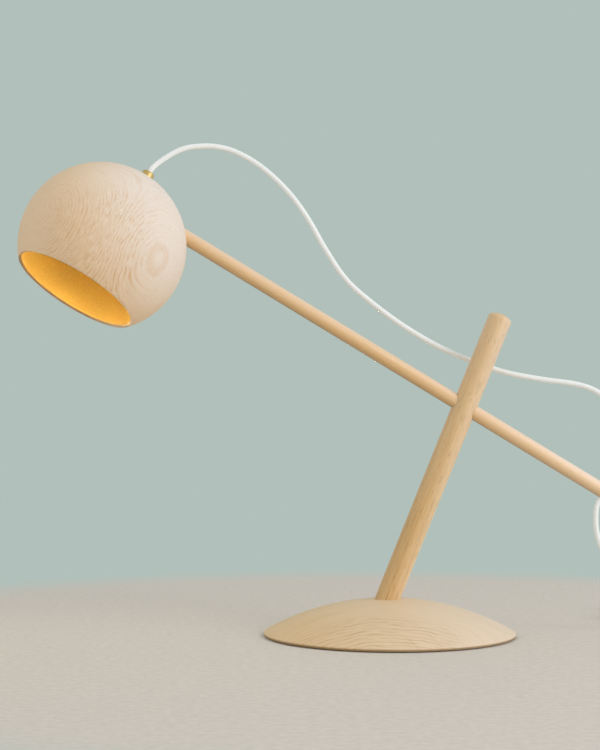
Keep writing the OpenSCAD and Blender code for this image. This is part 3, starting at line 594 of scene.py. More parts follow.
def ringed_sleeve(name, base_r, end_r, length, rings, place):
    """A tapered cord sleeve with grooves, from its wide end at height 0 to its narrow end"""
    profile = [(SLEEVE_BORE_R, 0), (base_r, 0)]
    pitch = length / (rings + 1)
    for i in range(1, rings + 1):
        middle, radius = i * pitch, base_r + (end_r - base_r) * i / (rings + 1)
        floor_r = radius - GROOVE_DEPTH * min(1.0, radius - SLEEVE_BORE_R)
        profile += [(radius, middle - GROOVE_TOP * pitch), (floor_r, middle - GROOVE_FLOOR * pitch),
                    (floor_r, middle + GROOVE_FLOOR * pitch), (radius, middle + GROOVE_TOP * pitch)]
    profile += [(end_r, length - 0.5), (end_r - 0.3, length), (SLEEVE_BORE_R, length), (SLEEVE_BORE_R, 0)]
    return lathe(name, profile, 40, place)


switch_axis = switch_place @ shift(0, 0, SWITCH_AXIS_Z)
sleeve_pieces = [
    ringed_sleeve(f"switch_sleeve_{i}", SLEEVE_R, SLEEVE_END_R, SLEEVE_L, SLEEVE_RINGS,
                  switch_axis @ turn(way, "Z") @ shift(SWITCH_L / 2, 0, 0) @ turn(QUARTER, "Y"))
    for i, way in enumerate((0, math.pi))]
plug_place = shift(PLUG_X, PLUG_CORD_Y, PLUG_Z) @ turn(-QUARTER, "Z")
plug_sleeve = ringed_sleeve("plug_sleeve", RELIEF_R, RELIEF_END_R, RELIEF_L, RELIEF_RINGS,
                            plug_place @ shift(RELIEF_L, 0, 0) @ turn(-QUARTER, "Y"))
for sleeve in sleeve_pieces + [plug_sleeve]:
    smooth(sleeve)

# %% [markdown]
# ## The plug
# The flat two-pin plug is wide at the pins and narrows to the cord. A cube is cut across, its cord end is
# scaled in, its upright edges are rounded and then both rims. The pins are turned, and a little thinner on
# their rear half.

# %% Mould the plug
PLUG_L, PLUG_W, PLUG_T, PLUG_NARROW = 34, 35, 13.6, 14
PLUG_ROUND, PLUG_EASE = 4, 1.8
PIN_R, PIN_L, PIN_GAP = 2, 19, 18.6
PIN_REAR_R, PIN_REAR_L, PIN_CROWN, PIN_EASE = PIN_R - 0.1, 10, 1, 0.3
plug_shell = rounded_block("plug_shell", (PLUG_L, PLUG_W, PLUG_T), -PLUG_T / 2, 0)
edit_all(plug_shell)
bpy.ops.mesh.bisect(plane_co=(-PLUG_L / 6 * MM, 0, 0), plane_no=(1, 0, 0))
pick_edges(plug_shell, lambda a, b: max(a.x, b.x) < -PLUG_L / 2 + 0.1)
bpy.ops.transform.resize(value=(1, PLUG_NARROW / PLUG_W, 1))
bevel(plug_shell, lambda a, b: abs(a.z - b.z) > 1, PLUG_ROUND, 6)
bpy.ops.mesh.select_all(action="SELECT")
bpy.ops.mesh.dissolve_limited(angle_limit=math.radians(1))
bevel(plug_shell, lambda a, b: abs(abs(a.z) - PLUG_T / 2) < NEAR and abs(a.z - b.z) < NEAR, PLUG_EASE, 5)
bpy.ops.object.mode_set(mode="OBJECT")
settle(plug_shell, plug_place @ shift(RELIEF_L + PLUG_L / 2, 0, 0))
smooth(plug_shell)
pin_start = plug_place @ shift(RELIEF_L + PLUG_L, 0, 0)
pin_profile = ([(0, 0), (PIN_REAR_R, 0), (PIN_REAR_R, PIN_REAR_L - 0.1), (PIN_R, PIN_REAR_L),
                (PIN_R, PIN_L - 1.4)]
               + domed_end(PIN_R, PIN_L, PIN_CROWN, PIN_EASE))
pins = [lathe(f"plug_pin_{i}", pin_profile, 32,
              pin_start @ shift(0, side * PIN_GAP / 2, 0) @ turn(QUARTER, "Y"))
        for i, side in enumerate((-1, 1))]
for pin in pins:
    smooth(pin)

# %% [markdown]
# ## The strap round the coil
# A soft woven strap holds the turns together. One edge is drawn round the bundle by extruding it from corner
# to corner, with rounded corners, and a Solidify modifier gives the ribbon its thickness.

# %% Wind the strap
TIE_W, TIE_T, TIE_ROUND = 8, 0.7, 2.2
TIE_GAP, TIE_GAP_BELOW = 0.7, 0.15
tie_in, tie_out = COIL_IN_R - CORD_D / 2 - TIE_GAP, COIL_OUT_R + CORD_D / 2 + TIE_GAP
tie_low, tie_high = COIL_Z - CORD_D / 2 - TIE_GAP_BELOW, COIL_Z + COIL_STEP + CORD_D / 2 + TIE_GAP
corners = ((tie_out - TIE_ROUND, tie_low + TIE_ROUND, -90), (tie_out - TIE_ROUND, tie_high - TIE_ROUND, 0),
           (tie_in + TIE_ROUND, tie_high - TIE_ROUND, 90), (tie_in + TIE_ROUND, tie_low + TIE_ROUND, 180))
tie_path = [point for y, z, start in corners for point in arc(y, z, TIE_ROUND, start, start + 90, 5)]
bpy.ops.mesh.primitive_plane_add(size=TIE_W * MM)
coil_strap = bpy.context.object
coil_strap.name = "coil_strap"
edit_all(coil_strap)
bpy.ops.mesh.select_mode(type="VERT")
bpy.ops.mesh.select_all(action="DESELECT")
bpy.ops.object.mode_set(mode="OBJECT")
for point in coil_strap.data.vertices:
    point.select = point.co.y > 0
bpy.ops.object.mode_set(mode="EDIT")
bpy.ops.mesh.delete(type="VERT")
bpy.ops.mesh.select_all(action="SELECT")
first_y, first_z = tie_path[0]
bpy.ops.transform.translate(value=(COIL_X * MM, (COIL_Y + first_y + TIE_W / 2) * MM, first_z * MM))
for (y0, z0), (y1, z1) in zip(tie_path, tie_path[1:] + tie_path[:1]):
    step = (0, (y1 - y0) * MM, (z1 - z0) * MM)
    bpy.ops.mesh.extrude_region_move(TRANSFORM_OT_translate={"value": step})
bpy.ops.mesh.select_all(action="SELECT")
bpy.ops.mesh.remove_doubles(threshold=WELD_M)
close_outwards()
ribbon = coil_strap.modifiers.new("ribbon", "SOLIDIFY")
ribbon.thickness = TIE_T * MM
ribbon.offset = 1
pick(coil_strap)
bpy.ops.object.modifier_apply(modifier="ribbon")
smooth(coil_strap, 50)

# %% [markdown]
# ## Finishes
# Each finish is made of nodes that read the piece's own coordinates, so the grain stays on the wood when a
# joint moves. Colours are written as on a paint card and turned to linear light by one function. One small
# function adds a node with its settings and its links, so that a finish reads as a list of its nodes.

# %% Colours and nodes


def paint(code):
    """A linear colour from an sRGB hex code"""
    parts = [int(code[i:i + 2], 16) / 255 for i in (1, 3, 5)]
    return (*[c / 12.92 if c <= 0.04045 else ((c + 0.055) / 1.055) ** 2.4 for c in parts], 1)


def new_finish(name, **surface):
    """A material, whose shader has the named sockets set directly, and its nodes"""
    finish = bpy.data.materials.new(name)
    finish.use_nodes = True
    shader = finish.node_tree.nodes["Principled BSDF"]
    for socket, value in surface.items():
        shader.inputs[socket.replace("_", " ")].default_value = value
    return finish, finish.node_tree


def add(tree, kind, links, **settings):
    """Adds a node and gives its first output. Links are other outputs or fixed values for its inputs: either
    in the node's own order, or as a map by an input's name or number"""
    made = tree.nodes.new("ShaderNode" + kind)
    for name, value in settings.items():
        if name == "stops":
            ramp = made.color_ramp.elements
            while len(ramp) < len(value):
                ramp.new(0.5)
            for element, (place, code) in zip(ramp, value):
                element.position, element.color = place, paint(code)
        else:
            setattr(made, name, value)
    for socket, value in links.items() if isinstance(links, dict) else enumerate(links):
        if isinstance(value, bpy.types.NodeSocket):
            tree.links.new(value, made.inputs[socket])
        else:
            made.inputs[socket].default_value = value
    return next(output for output in made.outputs if not output.is_unavailable)


print("mid grey as linear light:", round(paint("#808080")[0], 4))

# %% [markdown]
# Three more functions put together what the finishes share: the piece's coordinates, a noise of a real size
# in millimetres, and the links to the shader. Relief that is too fine to model is left to a bump node.

# %% What the finishes share
NOISE_LOW, NOISE_HIGH = 0.3, 0.7


def own_space(tree, place=None):
    """The piece's own coordinates, or, with a place, the same as counted from there"""
    here = add(tree, "TexCoord", {}).node.outputs["Object"]
    if place is None:
        return here
    spot = {"Vector": here, "Location": place.translation, "Rotation": place.to_euler()}
    return add(tree, "Mapping", spot, vector_type="TEXTURE")


def sized_noise(tree, space, size, **sockets):
    """A noise whose features are so many millimetres long along x, y and z"""
    spread = add(tree, "Mapping", {"Vector": space, "Scale": [1000 / side for side in size]})
    return add(tree, "TexNoise", {"Vector": spread, "Scale": 1.0, **sockets})


def set_surface(tree, colour, roughness, relief, strength, depth_mm, **settings):
    """Links a finish's colour and roughness to its shader, and turns a relief into bump of that depth"""
    bump = add(tree, "Bump", {"Height": relief, "Strength": strength, "Distance": depth_mm * MM}, **settings)
    for socket, value in (("Base Color", colour), ("Roughness", roughness), ("Normal", bump)):
        tree.links.new(value, tree.nodes["Principled BSDF"].inputs[socket])


print("most of a noise lies from", NOISE_LOW, "to", NOISE_HIGH)

# %% [markdown]
# ### Oiled ash
# Ash is a pale, ring-porous wood: wide light bands, darker streaks along the fibres and rows of fine open
# pores that look like short dashes. Fine sanding and a matt oil leave a low sheen. Post and arm are cut along
# the fibres: three noises, each stretched along the dowel, give bands, streaks and pores. The pores are drawn
# about twice as wide as real ones so that they show. One end of each dowel is paler. Across each dowel's
# section the colour holds painted shade and painted highlight: the flank away from the light is painted
# deeper, which soft light alone would leave too pale, and the lit flank is painted paler.

# %% The ash of post and arm
TONE_LOW, TONE_HIGH = 0.72, 1.28
PALE_SHARE, PORE_SHARE, PORE_EDGE = 0.7, 0.5, 0.1
ASH_RELIEF, DOWEL_RELIEF_MM = 0.25, 0.15


def oiled_ash(name, place, tones, pale_end, section, bands, streaks, pores, pore_from):
    """Tones are light, dark and pore; the pale end is a tone and the heights where it starts and is full. The
    section is the dowel's radius towards its lit side, along x, and the colours of painted shade and painted
    highlight from the far side to the lit one. Bands, streaks and pores are the sizes in millimetres of one
    feature along the place's x, y and z"""
    light, dark, pore = tones
    pale, pale_from, pale_to = pale_end
    lit_side_x, shading_stops = section
    finish, tree = new_finish(name, Specular_IOR_Level=0.5, Coat_Weight=0.35, Coat_Roughness=0.4)
    local = own_space(tree, place)
    inside = add(tree, "SeparateXYZ", {"Vector": local}).node.outputs
    band = sized_noise(tree, local, bands, Detail=2.0)
    streak = sized_noise(tree, local, streaks, Detail=4.0, Roughness=0.6)
    both = add(tree, "Math", (band, streak), operation="ADD")
    tone = add(tree, "MapRange", (both, TONE_LOW, TONE_HIGH))
    wood = add(tree, "ValToRGB", {"Fac": tone}, stops=[(0.0, dark), (1.0, light)])
    paler = add(tree, "MapRange", (inside["Z"], pale_from * MM, pale_to * MM, 0.0, PALE_SHARE))
    wood = add(tree, "Mix", {0: paler, 6: wood, 7: paint(pale)}, data_type="RGBA")
    # painted shade and painted highlight across the dowel: darker on the flank away from the light, paler on
    # the lit flank
    across = add(tree, "MapRange", (inside["X"], -lit_side_x * MM, lit_side_x * MM))
    painted_shading = add(tree, "ValToRGB", {"Fac": across}, stops=shading_stops)
    wood = add(tree, "Mix", {0: 1.0, 6: wood, 7: painted_shading}, data_type="RGBA", blend_type="MULTIPLY")
    dash = add(tree, "MapRange", (sized_noise(tree, local, pores, Detail=1.0), pore_from,
                                  pore_from + PORE_EDGE, 0.0, PORE_SHARE))
    colour = add(tree, "Mix", {0: dash, 6: wood, 7: paint(pore)}, data_type="RGBA")
    rough = add(tree, "MapRange", (streak, NOISE_LOW, NOISE_HIGH, 0.62, 0.5))
    relief = add(tree, "Math", (streak, dash), operation="SUBTRACT")
    set_surface(tree, colour, rough, relief, ASH_RELIEF, DOWEL_RELIEF_MM)
    return finish


# painted shade and painted highlight: the post is painted palest on its right flank towards the light, the arm
# darker underneath and paler on top
post_painted_light_tints = [(0.0, "#F8EDD8"), (0.25, "#F3E4C6"), (0.55, "#F5E8CF"), (0.8, "#F7EFE6"), (1.0, "#FFFFFF")]
arm_painted_light_tints = [(0.0, "#C3C0AF"), (0.15, "#E6DCBA"), (0.35, "#F2E7C3"), (0.68, "#FFF8E4"), (1.0, "#F9FFFF")]
post_ash = oiled_ash("oiled_ash_post", post_place, ("#F1D7AE", "#DCBA89", "#8C6836"), ("#F6E1CB", 90, 300),
                     (POST_R, post_painted_light_tints), (9, 9, 240), (1.8, 1.8, 60), (0.8, 0.8, 13), 0.62)
arm_ash = oiled_ash("oiled_ash_arm", rod_place, ("#F8DBC5", "#F1CEA8", "#CDA26E"), ("#FFE7DA", -20, 130),
                    (-ARM_R, arm_painted_light_tints), (7, 7, 260), (1.7, 1.7, 70), (0.9, 0.9, 12), 0.68)
print("wood finishes:", post_ash.name, arm_ash.name)

# %% [markdown]
# ### The base's ash
# The base is cut from a flat board, so its front shows nested arches: the fibres run from side to side, and
# fine pores along them fill a field that ends in an arch. The distance from a spot at the front edge numbers
# the growth layers. A noise that is read along that number, and only slowly along the lines themselves, draws
# lines of uneven strength and spacing. A second one, read across the gently curved fibres and gathered into
# lines by a ripple, draws the pores. Outside the field, faint arches and fibres go on over the whole base.
# The low band at the table is painted darker, as painted shade where it faces down. The base is painted
# paler towards the right, as painted light from that side.

# %% The ash of the base
ARCH_SPOT, ARCH_SQUASH = Vector((-26, -126, 4)) * MM, (0.72, 1, 1)
ARCH_MM, FADE_MM, FAR_MM = 62, 20, 160
FIBRE_BEND, LINE_MM = 0.6, 5.5
LIGHT_SIDE_FROM, LIGHT_SIDE_TO = -60, 120
BASE_SWAY_EVERY, LAYER_SWAY, FIBRE_SWAY = 40, 10, 14
ARCH_SHARE, FAR_ARCH_SHARE, DASH_SHARE, FIBRE_SHARE, EDGE_SHADE_SHARE = 0.16, 0.07, 0.44, 0.08, 0.7
GRAIN_RELIEF_MM = 0.12


def grain_lines(tree, layers, run, line_mm, run_mm, low, high):
    """Lines along equal layers: layers and run are in metres, and run counts along the lines"""
    crossed = add(tree, "Math", (layers, 1000 / line_mm), operation="MULTIPLY")
    slow = add(tree, "Math", (run, 1000 / run_mm), operation="MULTIPLY")
    space = add(tree, "CombineXYZ", {"X": crossed, "Y": slow})
    noise = add(tree, "TexNoise", {"Vector": space, "Scale": 1.0, "Detail": 3.0, "Roughness": 0.55})
    return add(tree, "MapRange", (noise, low, high), interpolation_type="SMOOTHSTEP")


base_ash, tree = new_finish("oiled_ash_base", Specular_IOR_Level=0.3, Coat_Weight=0.04, Coat_Roughness=0.45)
here = own_space(tree)
from_spot = add(tree, "VectorMath", (here, ARCH_SPOT), operation="SUBTRACT")
squashed = add(tree, "VectorMath", (from_spot, ARCH_SQUASH), operation="MULTIPLY")
layers = add(tree, "VectorMath", (squashed,), operation="LENGTH")
sway = add(tree, "TexNoise", {"Vector": here, "Scale": 1000 / BASE_SWAY_EVERY, "Detail": 2.0})
layers = add(tree, "Math", (sway, LAYER_SWAY * MM, layers), operation="MULTIPLY_ADD")
apart = add(tree, "SeparateXYZ", {"Vector": from_spot}).node.outputs
sideways = apart["X"]
bow = add(tree, "Math", (sideways, sideways), operation="MULTIPLY")
across = add(tree, "Math", (bow, FIBRE_BEND, apart["Y"]), operation="MULTIPLY_ADD")
across = add(tree, "Math", (sway, FIBRE_SWAY * MM, across), operation="MULTIPLY_ADD")
dashes = grain_lines(tree, across, sideways, 1.6, 22, 0.39, 0.64)
phase = add(tree, "Math", (across, 2 * math.pi * 1000 / LINE_MM), operation="MULTIPLY")
ripple = add(tree, "Math", (phase,), operation="SINE")
ripple = add(tree, "MapRange", (ripple, -0.7, 0.9, 0.1))
dashes = add(tree, "Math", (dashes, ripple), operation="MULTIPLY")
field = add(tree, "MapRange", (layers, (ARCH_MM + FADE_MM) * MM, ARCH_MM * MM))
pores = add(tree, "Math", (dashes, field), operation="MULTIPLY")
arches = grain_lines(tree, layers, sideways, 4.5, 90, 0.5, 0.72)
arch_share = add(tree, "MapRange", (layers, FAR_MM * MM, ARCH_MM * MM, FAR_ARCH_SHARE, ARCH_SHARE))
arches = add(tree, "Math", (arches, arch_share), operation="MULTIPLY")
fibres = grain_lines(tree, across, sideways, 1.5, 60, 0.42, 0.72)
drawn = add(tree, "Math", (pores, DASH_SHARE, arches), operation="MULTIPLY_ADD")
drawn = add(tree, "Math", (fibres, FIBRE_SHARE, drawn), operation="MULTIPLY_ADD")
# painted light: the base is painted paler towards the right, where the light comes from
painted_light_side = add(tree, "MapRange", (sideways, LIGHT_SIDE_FROM * MM, LIGHT_SIDE_TO * MM))
wood = add(tree, "ValToRGB", {"Fac": painted_light_side}, stops=[(0.0, "#EBCC9E"), (1.0, "#EEDAC0")])
lined = add(tree, "Mix", {0: drawn, 6: wood, 7: paint("#B98F5C")}, data_type="RGBA")
height = add(tree, "SeparateXYZ", {"Vector": here}).node.outputs["Z"]
# painted shade: the low band at the table, which faces down, is painted darker
painted_edge_shade = add(tree, "MapRange", (height, (EDGE_Z + 0.4) * MM, (EDGE_Z - 0.8) * MM, 0.0, EDGE_SHADE_SHARE))
colour = add(tree, "Mix", {0: painted_edge_shade, 6: lined, 7: paint("#866532")}, data_type="RGBA")
rough = add(tree, "MapRange", {"Value": drawn, "To Min": 0.54, "To Max": 0.64})
set_surface(tree, colour, rough, drawn, ASH_RELIEF, GRAIN_RELIEF_MM, invert=True)
print("base finish:", base_ash.name, len(tree.nodes), "nodes")

# %% [markdown]
# ### The ball's ash
# A ball that is turned with the fibres along its axis cuts through the growth layers. Where a layer lies flat
# to the surface, an eye with rings shows; here there is one towards the arm and a fainter one on the other
# side, and between them the layers run as close lines along the fibres. A slanting stack of layers, with the
# logarithm of the distance from each eye added or taken away, gives such a field: its steps ring both eyes
# and are nearly straight half-way between them. Noise bends it a little. A noise that is read along that
# field gives lines of uneven strength, and a ripple, broken into dashes, gives the fine ribs of the middle. A
# soft dark ring marks the eye, and a few arcs show high on the other side.

# %% The growth layers of the shade
EYE, FAINT_EYE = Vector((0.742, -0.636, -0.211)), Vector((-0.674, -0.68, 0.29))
ARC_SPOT, CALM_SPOT = Vector((-0.412, -0.81, 0.418)), Vector((0.64, -0.5, -0.6))
STACK = Vector((0.986, -0.038, -0.267))
EYE_MM, FAINT_WEIGHT = 30, 2.07
SWAY_SIZE, SWAY_MM = (34, 34, 70), 7
RIB_MM, CROWD_FROM, CROWD_TO, CROWD_RIBS = 5, -93.5, -36.5, 12
RING_MM, RING_SWAY_EVERY, RING_SWAY = 19, 16, 16
RING_BLUR, RING_CORE, RING_SHARE = 8, 2.5, 0.19
ARC_FROM, ARC_FULL = 42, 22
shade_ash, tree = new_finish("oiled_ash_shade", Specular_IOR_Level=0.25)
here = own_space(tree)
local = own_space(tree, head_place)
from_mid = add(tree, "VectorMath", (here, ball_centre), operation="SUBTRACT")
along = add(tree, "SeparateXYZ", {"Vector": local}).node.outputs["Z"]
from_eye, from_faint, from_arcs, from_calm = (
    add(tree, "VectorMath", (from_mid, spot.normalized() * BALL_R * MM), operation="DISTANCE")
    for spot in (EYE, FAINT_EYE, ARC_SPOT, CALM_SPOT))


def ringing(away):
    """The logarithm that makes the layers ring an eye"""
    square = add(tree, "Math", (away, 2.0), operation="POWER")
    spread = add(tree, "Math", (square, (1000 / EYE_MM) ** 2, 1.0), operation="MULTIPLY_ADD")
    return add(tree, "Math", (spread, math.e), operation="LOGARITHM")


both = add(tree, "Math", (ringing(from_faint), -FAINT_WEIGHT, ringing(from_eye)), operation="MULTIPLY_ADD")
stack = add(tree, "VectorMath", (from_mid, STACK), operation="DOT_PRODUCT")
layers = add(tree, "Math", (both, EYE_MM * MM, stack), operation="MULTIPLY_ADD")
sway = sized_noise(tree, local, SWAY_SIZE, Detail=3.0)
layers = add(tree, "Math", (sway, SWAY_MM * MM, layers), operation="MULTIPLY_ADD")
wide = grain_lines(tree, layers, along, 2.0, 50, 0.48, 0.74)
fine = grain_lines(tree, layers, along, 0.75, 9, 0.42, 0.58)
crowd = add(tree, "MapRange", (layers, CROWD_FROM * MM, CROWD_TO * MM))
crowd = add(tree, "Math", (crowd, 2.0), operation="POWER")
phase = add(tree, "Math", (layers, 2 * math.pi * 1000 / RIB_MM), operation="MULTIPLY")
phase = add(tree, "Math", (crowd, 2 * math.pi * CROWD_RIBS, phase), operation="MULTIPLY_ADD")
ribs = add(tree, "Math", (phase,), operation="SINE")
ribs = add(tree, "MapRange", (ribs, -0.6, 0.9))
ribs = add(tree, "Math", (ribs, fine), operation="MULTIPLY")
uneven = add(tree, "TexNoise", {"Vector": here, "Scale": 1000 / RING_SWAY_EVERY, "Detail": 2.0})
off_ring = add(tree, "Math", (uneven, RING_SWAY * MM, from_eye), operation="MULTIPLY_ADD")
off_ring = add(tree, "Math", (off_ring, RING_MM * MM), operation="SUBTRACT")
off_ring = add(tree, "Math", (off_ring,), operation="ABSOLUTE")
ring = add(tree, "MapRange", (off_ring, RING_BLUR * MM, RING_CORE * MM, 0.0, RING_SHARE),
           interpolation_type="SMOOTHSTEP")
arcs = grain_lines(tree, from_arcs, along, 2.6, 40, 0.46, 0.7)
near_arcs = add(tree, "MapRange", (from_arcs, ARC_FROM * MM, ARC_FULL * MM))
arcs = add(tree, "Math", (arcs, near_arcs), operation="MULTIPLY")
print("growth layers of the shade:", len(tree.nodes), "nodes")

# %% [markdown]
# The lines are strongest in the middle of the front, calmer at the eye and faint below it: each calm place
# has a core, an outer edge and the share of the lines that is left in the core. The wood is painted paler
# towards the arm, on the side the light comes from, as painted light, and fine pores run along the fibres.
# The inside is painted a deeper honey colour, as painted warm light of the bulb. The rim shows bare end
# grain, painted darker where it faces away from the light, as painted shade.

# %% The colours of the shade
PAINTED_LIGHT_SIDE = Vector((0.9, -0.3, 0.3)).normalized()
RIBBED = Vector((0.12, -0.98, -0.16)).normalized()
CALM_EYE, CALM_BELOW = (12 * MM, 34 * MM, 0.25), (16 * MM, 34 * MM, 0.35)
WIDE_FAINT, WIDE_STRONG = 0.06, 0.16
FINE_SHARE, RIB_SHARE, ARC_SHARE, BALL_PORE_SHARE = 0.5, 0.38, 0.14, 0.4
BALL_PORES, BALL_FIBRES, CLOUD_MM = (0.9, 0.9, 5), (1.3, 1.3, 16), 55
INSIDE_FROM, INSIDE_TO = BALL_IN_R + 0.2, BALL_IN_R + 0.9
rim_slant = MOUTH_Z / BALL_R


def reach_in(facing, low, high, start=0.0, **settings):
    """From start to 1 while a point lies from low to high shares of the ball's radius in a direction"""
    depth = add(tree, "VectorMath", (from_mid, facing), operation="DOT_PRODUCT")
    return add(tree, "MapRange", (depth, low * BALL_R * MM, high * BALL_R * MM, start), **settings)


# painted light: the wood is painted paler on the side towards the light
painted_paleness = reach_in(PAINTED_LIGHT_SIDE, 0.05, 1, interpolation_type="SMOOTHSTEP")
middle = reach_in(RIBBED, 0.6, 0.93, start=0.22, interpolation_type="SMOOTHSTEP")
calm_eye = add(tree, "MapRange", (from_eye, *CALM_EYE))
middle = add(tree, "Math", (middle, calm_eye), operation="MULTIPLY")
cloud = add(tree, "TexNoise", {"Vector": here, "Scale": 1000 / CLOUD_MM, "Detail": 2.0})
skin_painted_light = add(tree, "Mix", {0: painted_paleness, 6: paint("#F4D8B5"), 7: paint("#F1E6DB")}, data_type="RGBA")
shown = add(tree, "MapRange", (cloud, 0.35, 0.65, WIDE_FAINT, WIDE_STRONG))
drawn = add(tree, "Math", (wide, shown), operation="MULTIPLY")
ribs = add(tree, "Math", (fine, FINE_SHARE, ribs), operation="MULTIPLY_ADD")
ribs = add(tree, "Math", (ribs, middle), operation="MULTIPLY")
drawn = add(tree, "Math", (ribs, RIB_SHARE, drawn), operation="MULTIPLY_ADD")
drawn = add(tree, "Math", (arcs, ARC_SHARE, drawn), operation="MULTIPLY_ADD")
calm_below = add(tree, "MapRange", (from_calm, *CALM_BELOW))
drawn = add(tree, "Math", (drawn, calm_below, ring), operation="MULTIPLY_ADD")
lined = add(tree, "Mix", {0: drawn, 6: skin_painted_light, 7: paint("#DAA868")}, data_type="RGBA")
dash = add(tree, "MapRange", (sized_noise(tree, local, BALL_PORES, Detail=1.0), 0.64, 0.76, 0.0,
                              BALL_PORE_SHARE))
outside = add(tree, "Mix", {0: dash, 6: lined, 7: paint("#C49C70")}, data_type="RGBA")
fibre = sized_noise(tree, local, BALL_FIBRES, Detail=3.0, Roughness=0.6)
# painted light: the inside is painted a deep honey colour, as the warm light of the bulb
honey_painted_glow = add(tree, "ValToRGB", {"Fac": fibre}, stops=[(NOISE_LOW, "#C9A44A"), (NOISE_HIGH, "#D5B158")])
reach = add(tree, "VectorMath", (from_mid,), operation="LENGTH")
skin_side = add(tree, "MapRange", (reach, INSIDE_FROM * MM, INSIDE_TO * MM))
wood = add(tree, "Mix", {0: skin_side, 6: honey_painted_glow, 7: outside}, data_type="RGBA")
slant = add(tree, "Math", (along, reach), operation="DIVIDE")
rim = add(tree, "MapRange", (slant, rim_slant + 0.004, rim_slant + 0.001))
rim = add(tree, "Math", (rim, skin_side), operation="MULTIPLY")
# painted shade: the rim's end grain is painted darker where it faces away from the light
rim_painted_shade = reach_in(PAINTED_LIGHT_SIDE, -0.6, 0.1)
end_grain_painted_shade = add(tree, "Mix", {0: rim_painted_shade, 6: paint("#B08C60"), 7: paint("#F0D2AC")}, data_type="RGBA")
colour = add(tree, "Mix", {0: rim, 6: wood, 7: end_grain_painted_shade}, data_type="RGBA")
rough = add(tree, "MapRange", (fibre, NOISE_LOW, NOISE_HIGH, 0.72, 0.6))
relief = add(tree, "Math", (drawn, dash), operation="ADD")
set_surface(tree, colour, rough, relief, ASH_RELIEF, GRAIN_RELIEF_MM, invert=True)
print("shade finish:", shade_ash.name, len(tree.nodes), "nodes")

# %% [markdown]
# ### Metals, plastics and the rest
# Satin brass and zinc-plated steel have a slightly uneven polish. Moulded plastics are smooth with a faint
# orange-peel. The flex is a soft matt sheath. Felt and the strap are fibrous, the fibre washer is mottled,
# and the glass is frosted. One function makes them all: a mottle of two tones, a roughness that follows it,
# and relief.

# %% The other finishes
MOTTLE_RELIEF = 0.3


def mottled(name, tones, feature, rough, bump_mm, stretch=(1, 1, 1), **surface):
    """Two tones mixed by a noise whose features are so many millimetres wide"""
    finish, tree = new_finish(name, **surface)
    grain = sized_noise(tree, own_space(tree), [feature * s for s in stretch], Detail=4.0, Roughness=0.6)
    colour = add(tree, "ValToRGB", {"Fac": grain}, stops=[(NOISE_LOW, tones[0]), (NOISE_HIGH, tones[1])])
    polish = add(tree, "MapRange", (grain, NOISE_LOW, NOISE_HIGH, rough[0], rough[1]))
    set_surface(tree, colour, polish, grain, MOTTLE_RELIEF, bump_mm)
    return finish


# satin brass, turned: warm yellow metal with fine uneven polish
brass = mottled("satin_brass", ("#E4B96C", "#F0CF92"), 1.2, (0.52, 0.42), 0.02, Metallic=0.75)
# zinc-plated steel: cool grey metal with a slightly cloudy plating
steel = mottled("zinc_plated_steel", ("#A4A8AC", "#BCC0C3"), 2.0, (0.42, 0.3), 0.02, Metallic=1.0)
# extruded white sheath of the flex: matt, with faint unevenness along its length
sheath = mottled("white_flex_sheath", ("#F4F8F7", "#FAFDFC"), 6.0, (0.5, 0.42), 0.004, Specular_IOR_Level=0.4)
# moulded white plastic of switch and plug: smooth with a faint orange-peel
moulded = mottled("moulded_white_plastic", ("#EFEEE8", "#F4F3EE"), 1.6, (0.4, 0.32), 0.02,
                  Specular_IOR_Level=0.5)
# glossy off-white moulding of the lampholder
glossy = mottled("glossy_holder_plastic", ("#E6E2D6", "#EEEBE1"), 3.0, (0.22, 0.16), 0.01)
# natural nylon liner of the arm's bore: slightly waxy
nylon = mottled("natural_nylon", ("#C8AF83", "#D8C296"), 2.5, (0.5, 0.42), 0.02)
# vulcanised fibre: dense, dull red-brown
fibre_board = mottled("vulcanised_fibre", ("#7C3226", "#98483A"), 0.8, (0.75, 0.65), 0.05)
# pressed wool felt: short matted hairs, no gloss
felt = mottled("pressed_felt", ("#5C5955", "#76736E"), 0.9, (1.0, 0.9), 0.3, Sheen_Weight=0.3)
# woven strap: dull grey yarns across the ribbon
strap = mottled("woven_strap", ("#5A5856", "#7B7976"), 0.9, (0.95, 0.85), 0.2, stretch=(4, 1, 1),
                Sheen_Weight=0.2)
# frosted lamp glass: warm white and slightly cloudy, lit from within
frosted = mottled("frosted_glass", ("#FFF0D2", "#FFF6E2"), 4.0, (0.55, 0.45), 0.02, Transmission_Weight=0.15,
                  Emission_Color=paint("#FFF2D6"))
print("glass finish:", frosted.name)

# %% [markdown]
# The bulb is lit, and its glass lights the inside of the shade, without an extra lamp. The strength of the
# glow follows the height on the glass and is greatest at the lower end.

# %% The bulb's glow and the finish of each slot
GLOW_FROM, GLOW_TO, GLOW_LOW, GLOW_HIGH = BULB_Z - 9, BULB_Z - 19.5, 0.15, 42.0
tree = frosted.node_tree
height = add(tree, "SeparateXYZ", {"Vector": own_space(tree, head_place)}).node.outputs["Z"]
glow = add(tree, "MapRange", (height, GLOW_FROM * MM, GLOW_TO * MM, GLOW_LOW, GLOW_HIGH))
tree.links.new(glow, tree.nodes["Principled BSDF"].inputs["Emission Strength"])
finish_of_slot = {
    "steel": steel, "brass": brass, "white_cord": sheath, "white_plastic": moulded,
    "porcelain_plastic": glossy, "nylon_liner": nylon, "red_fibre": fibre_board, "grey_felt": felt,
    "grey_strap": strap, "frosted_glass": frosted, "ash_wood": base_ash, "pale_ash_wood": shade_ash}
print("finishes:", len(finish_of_slot))
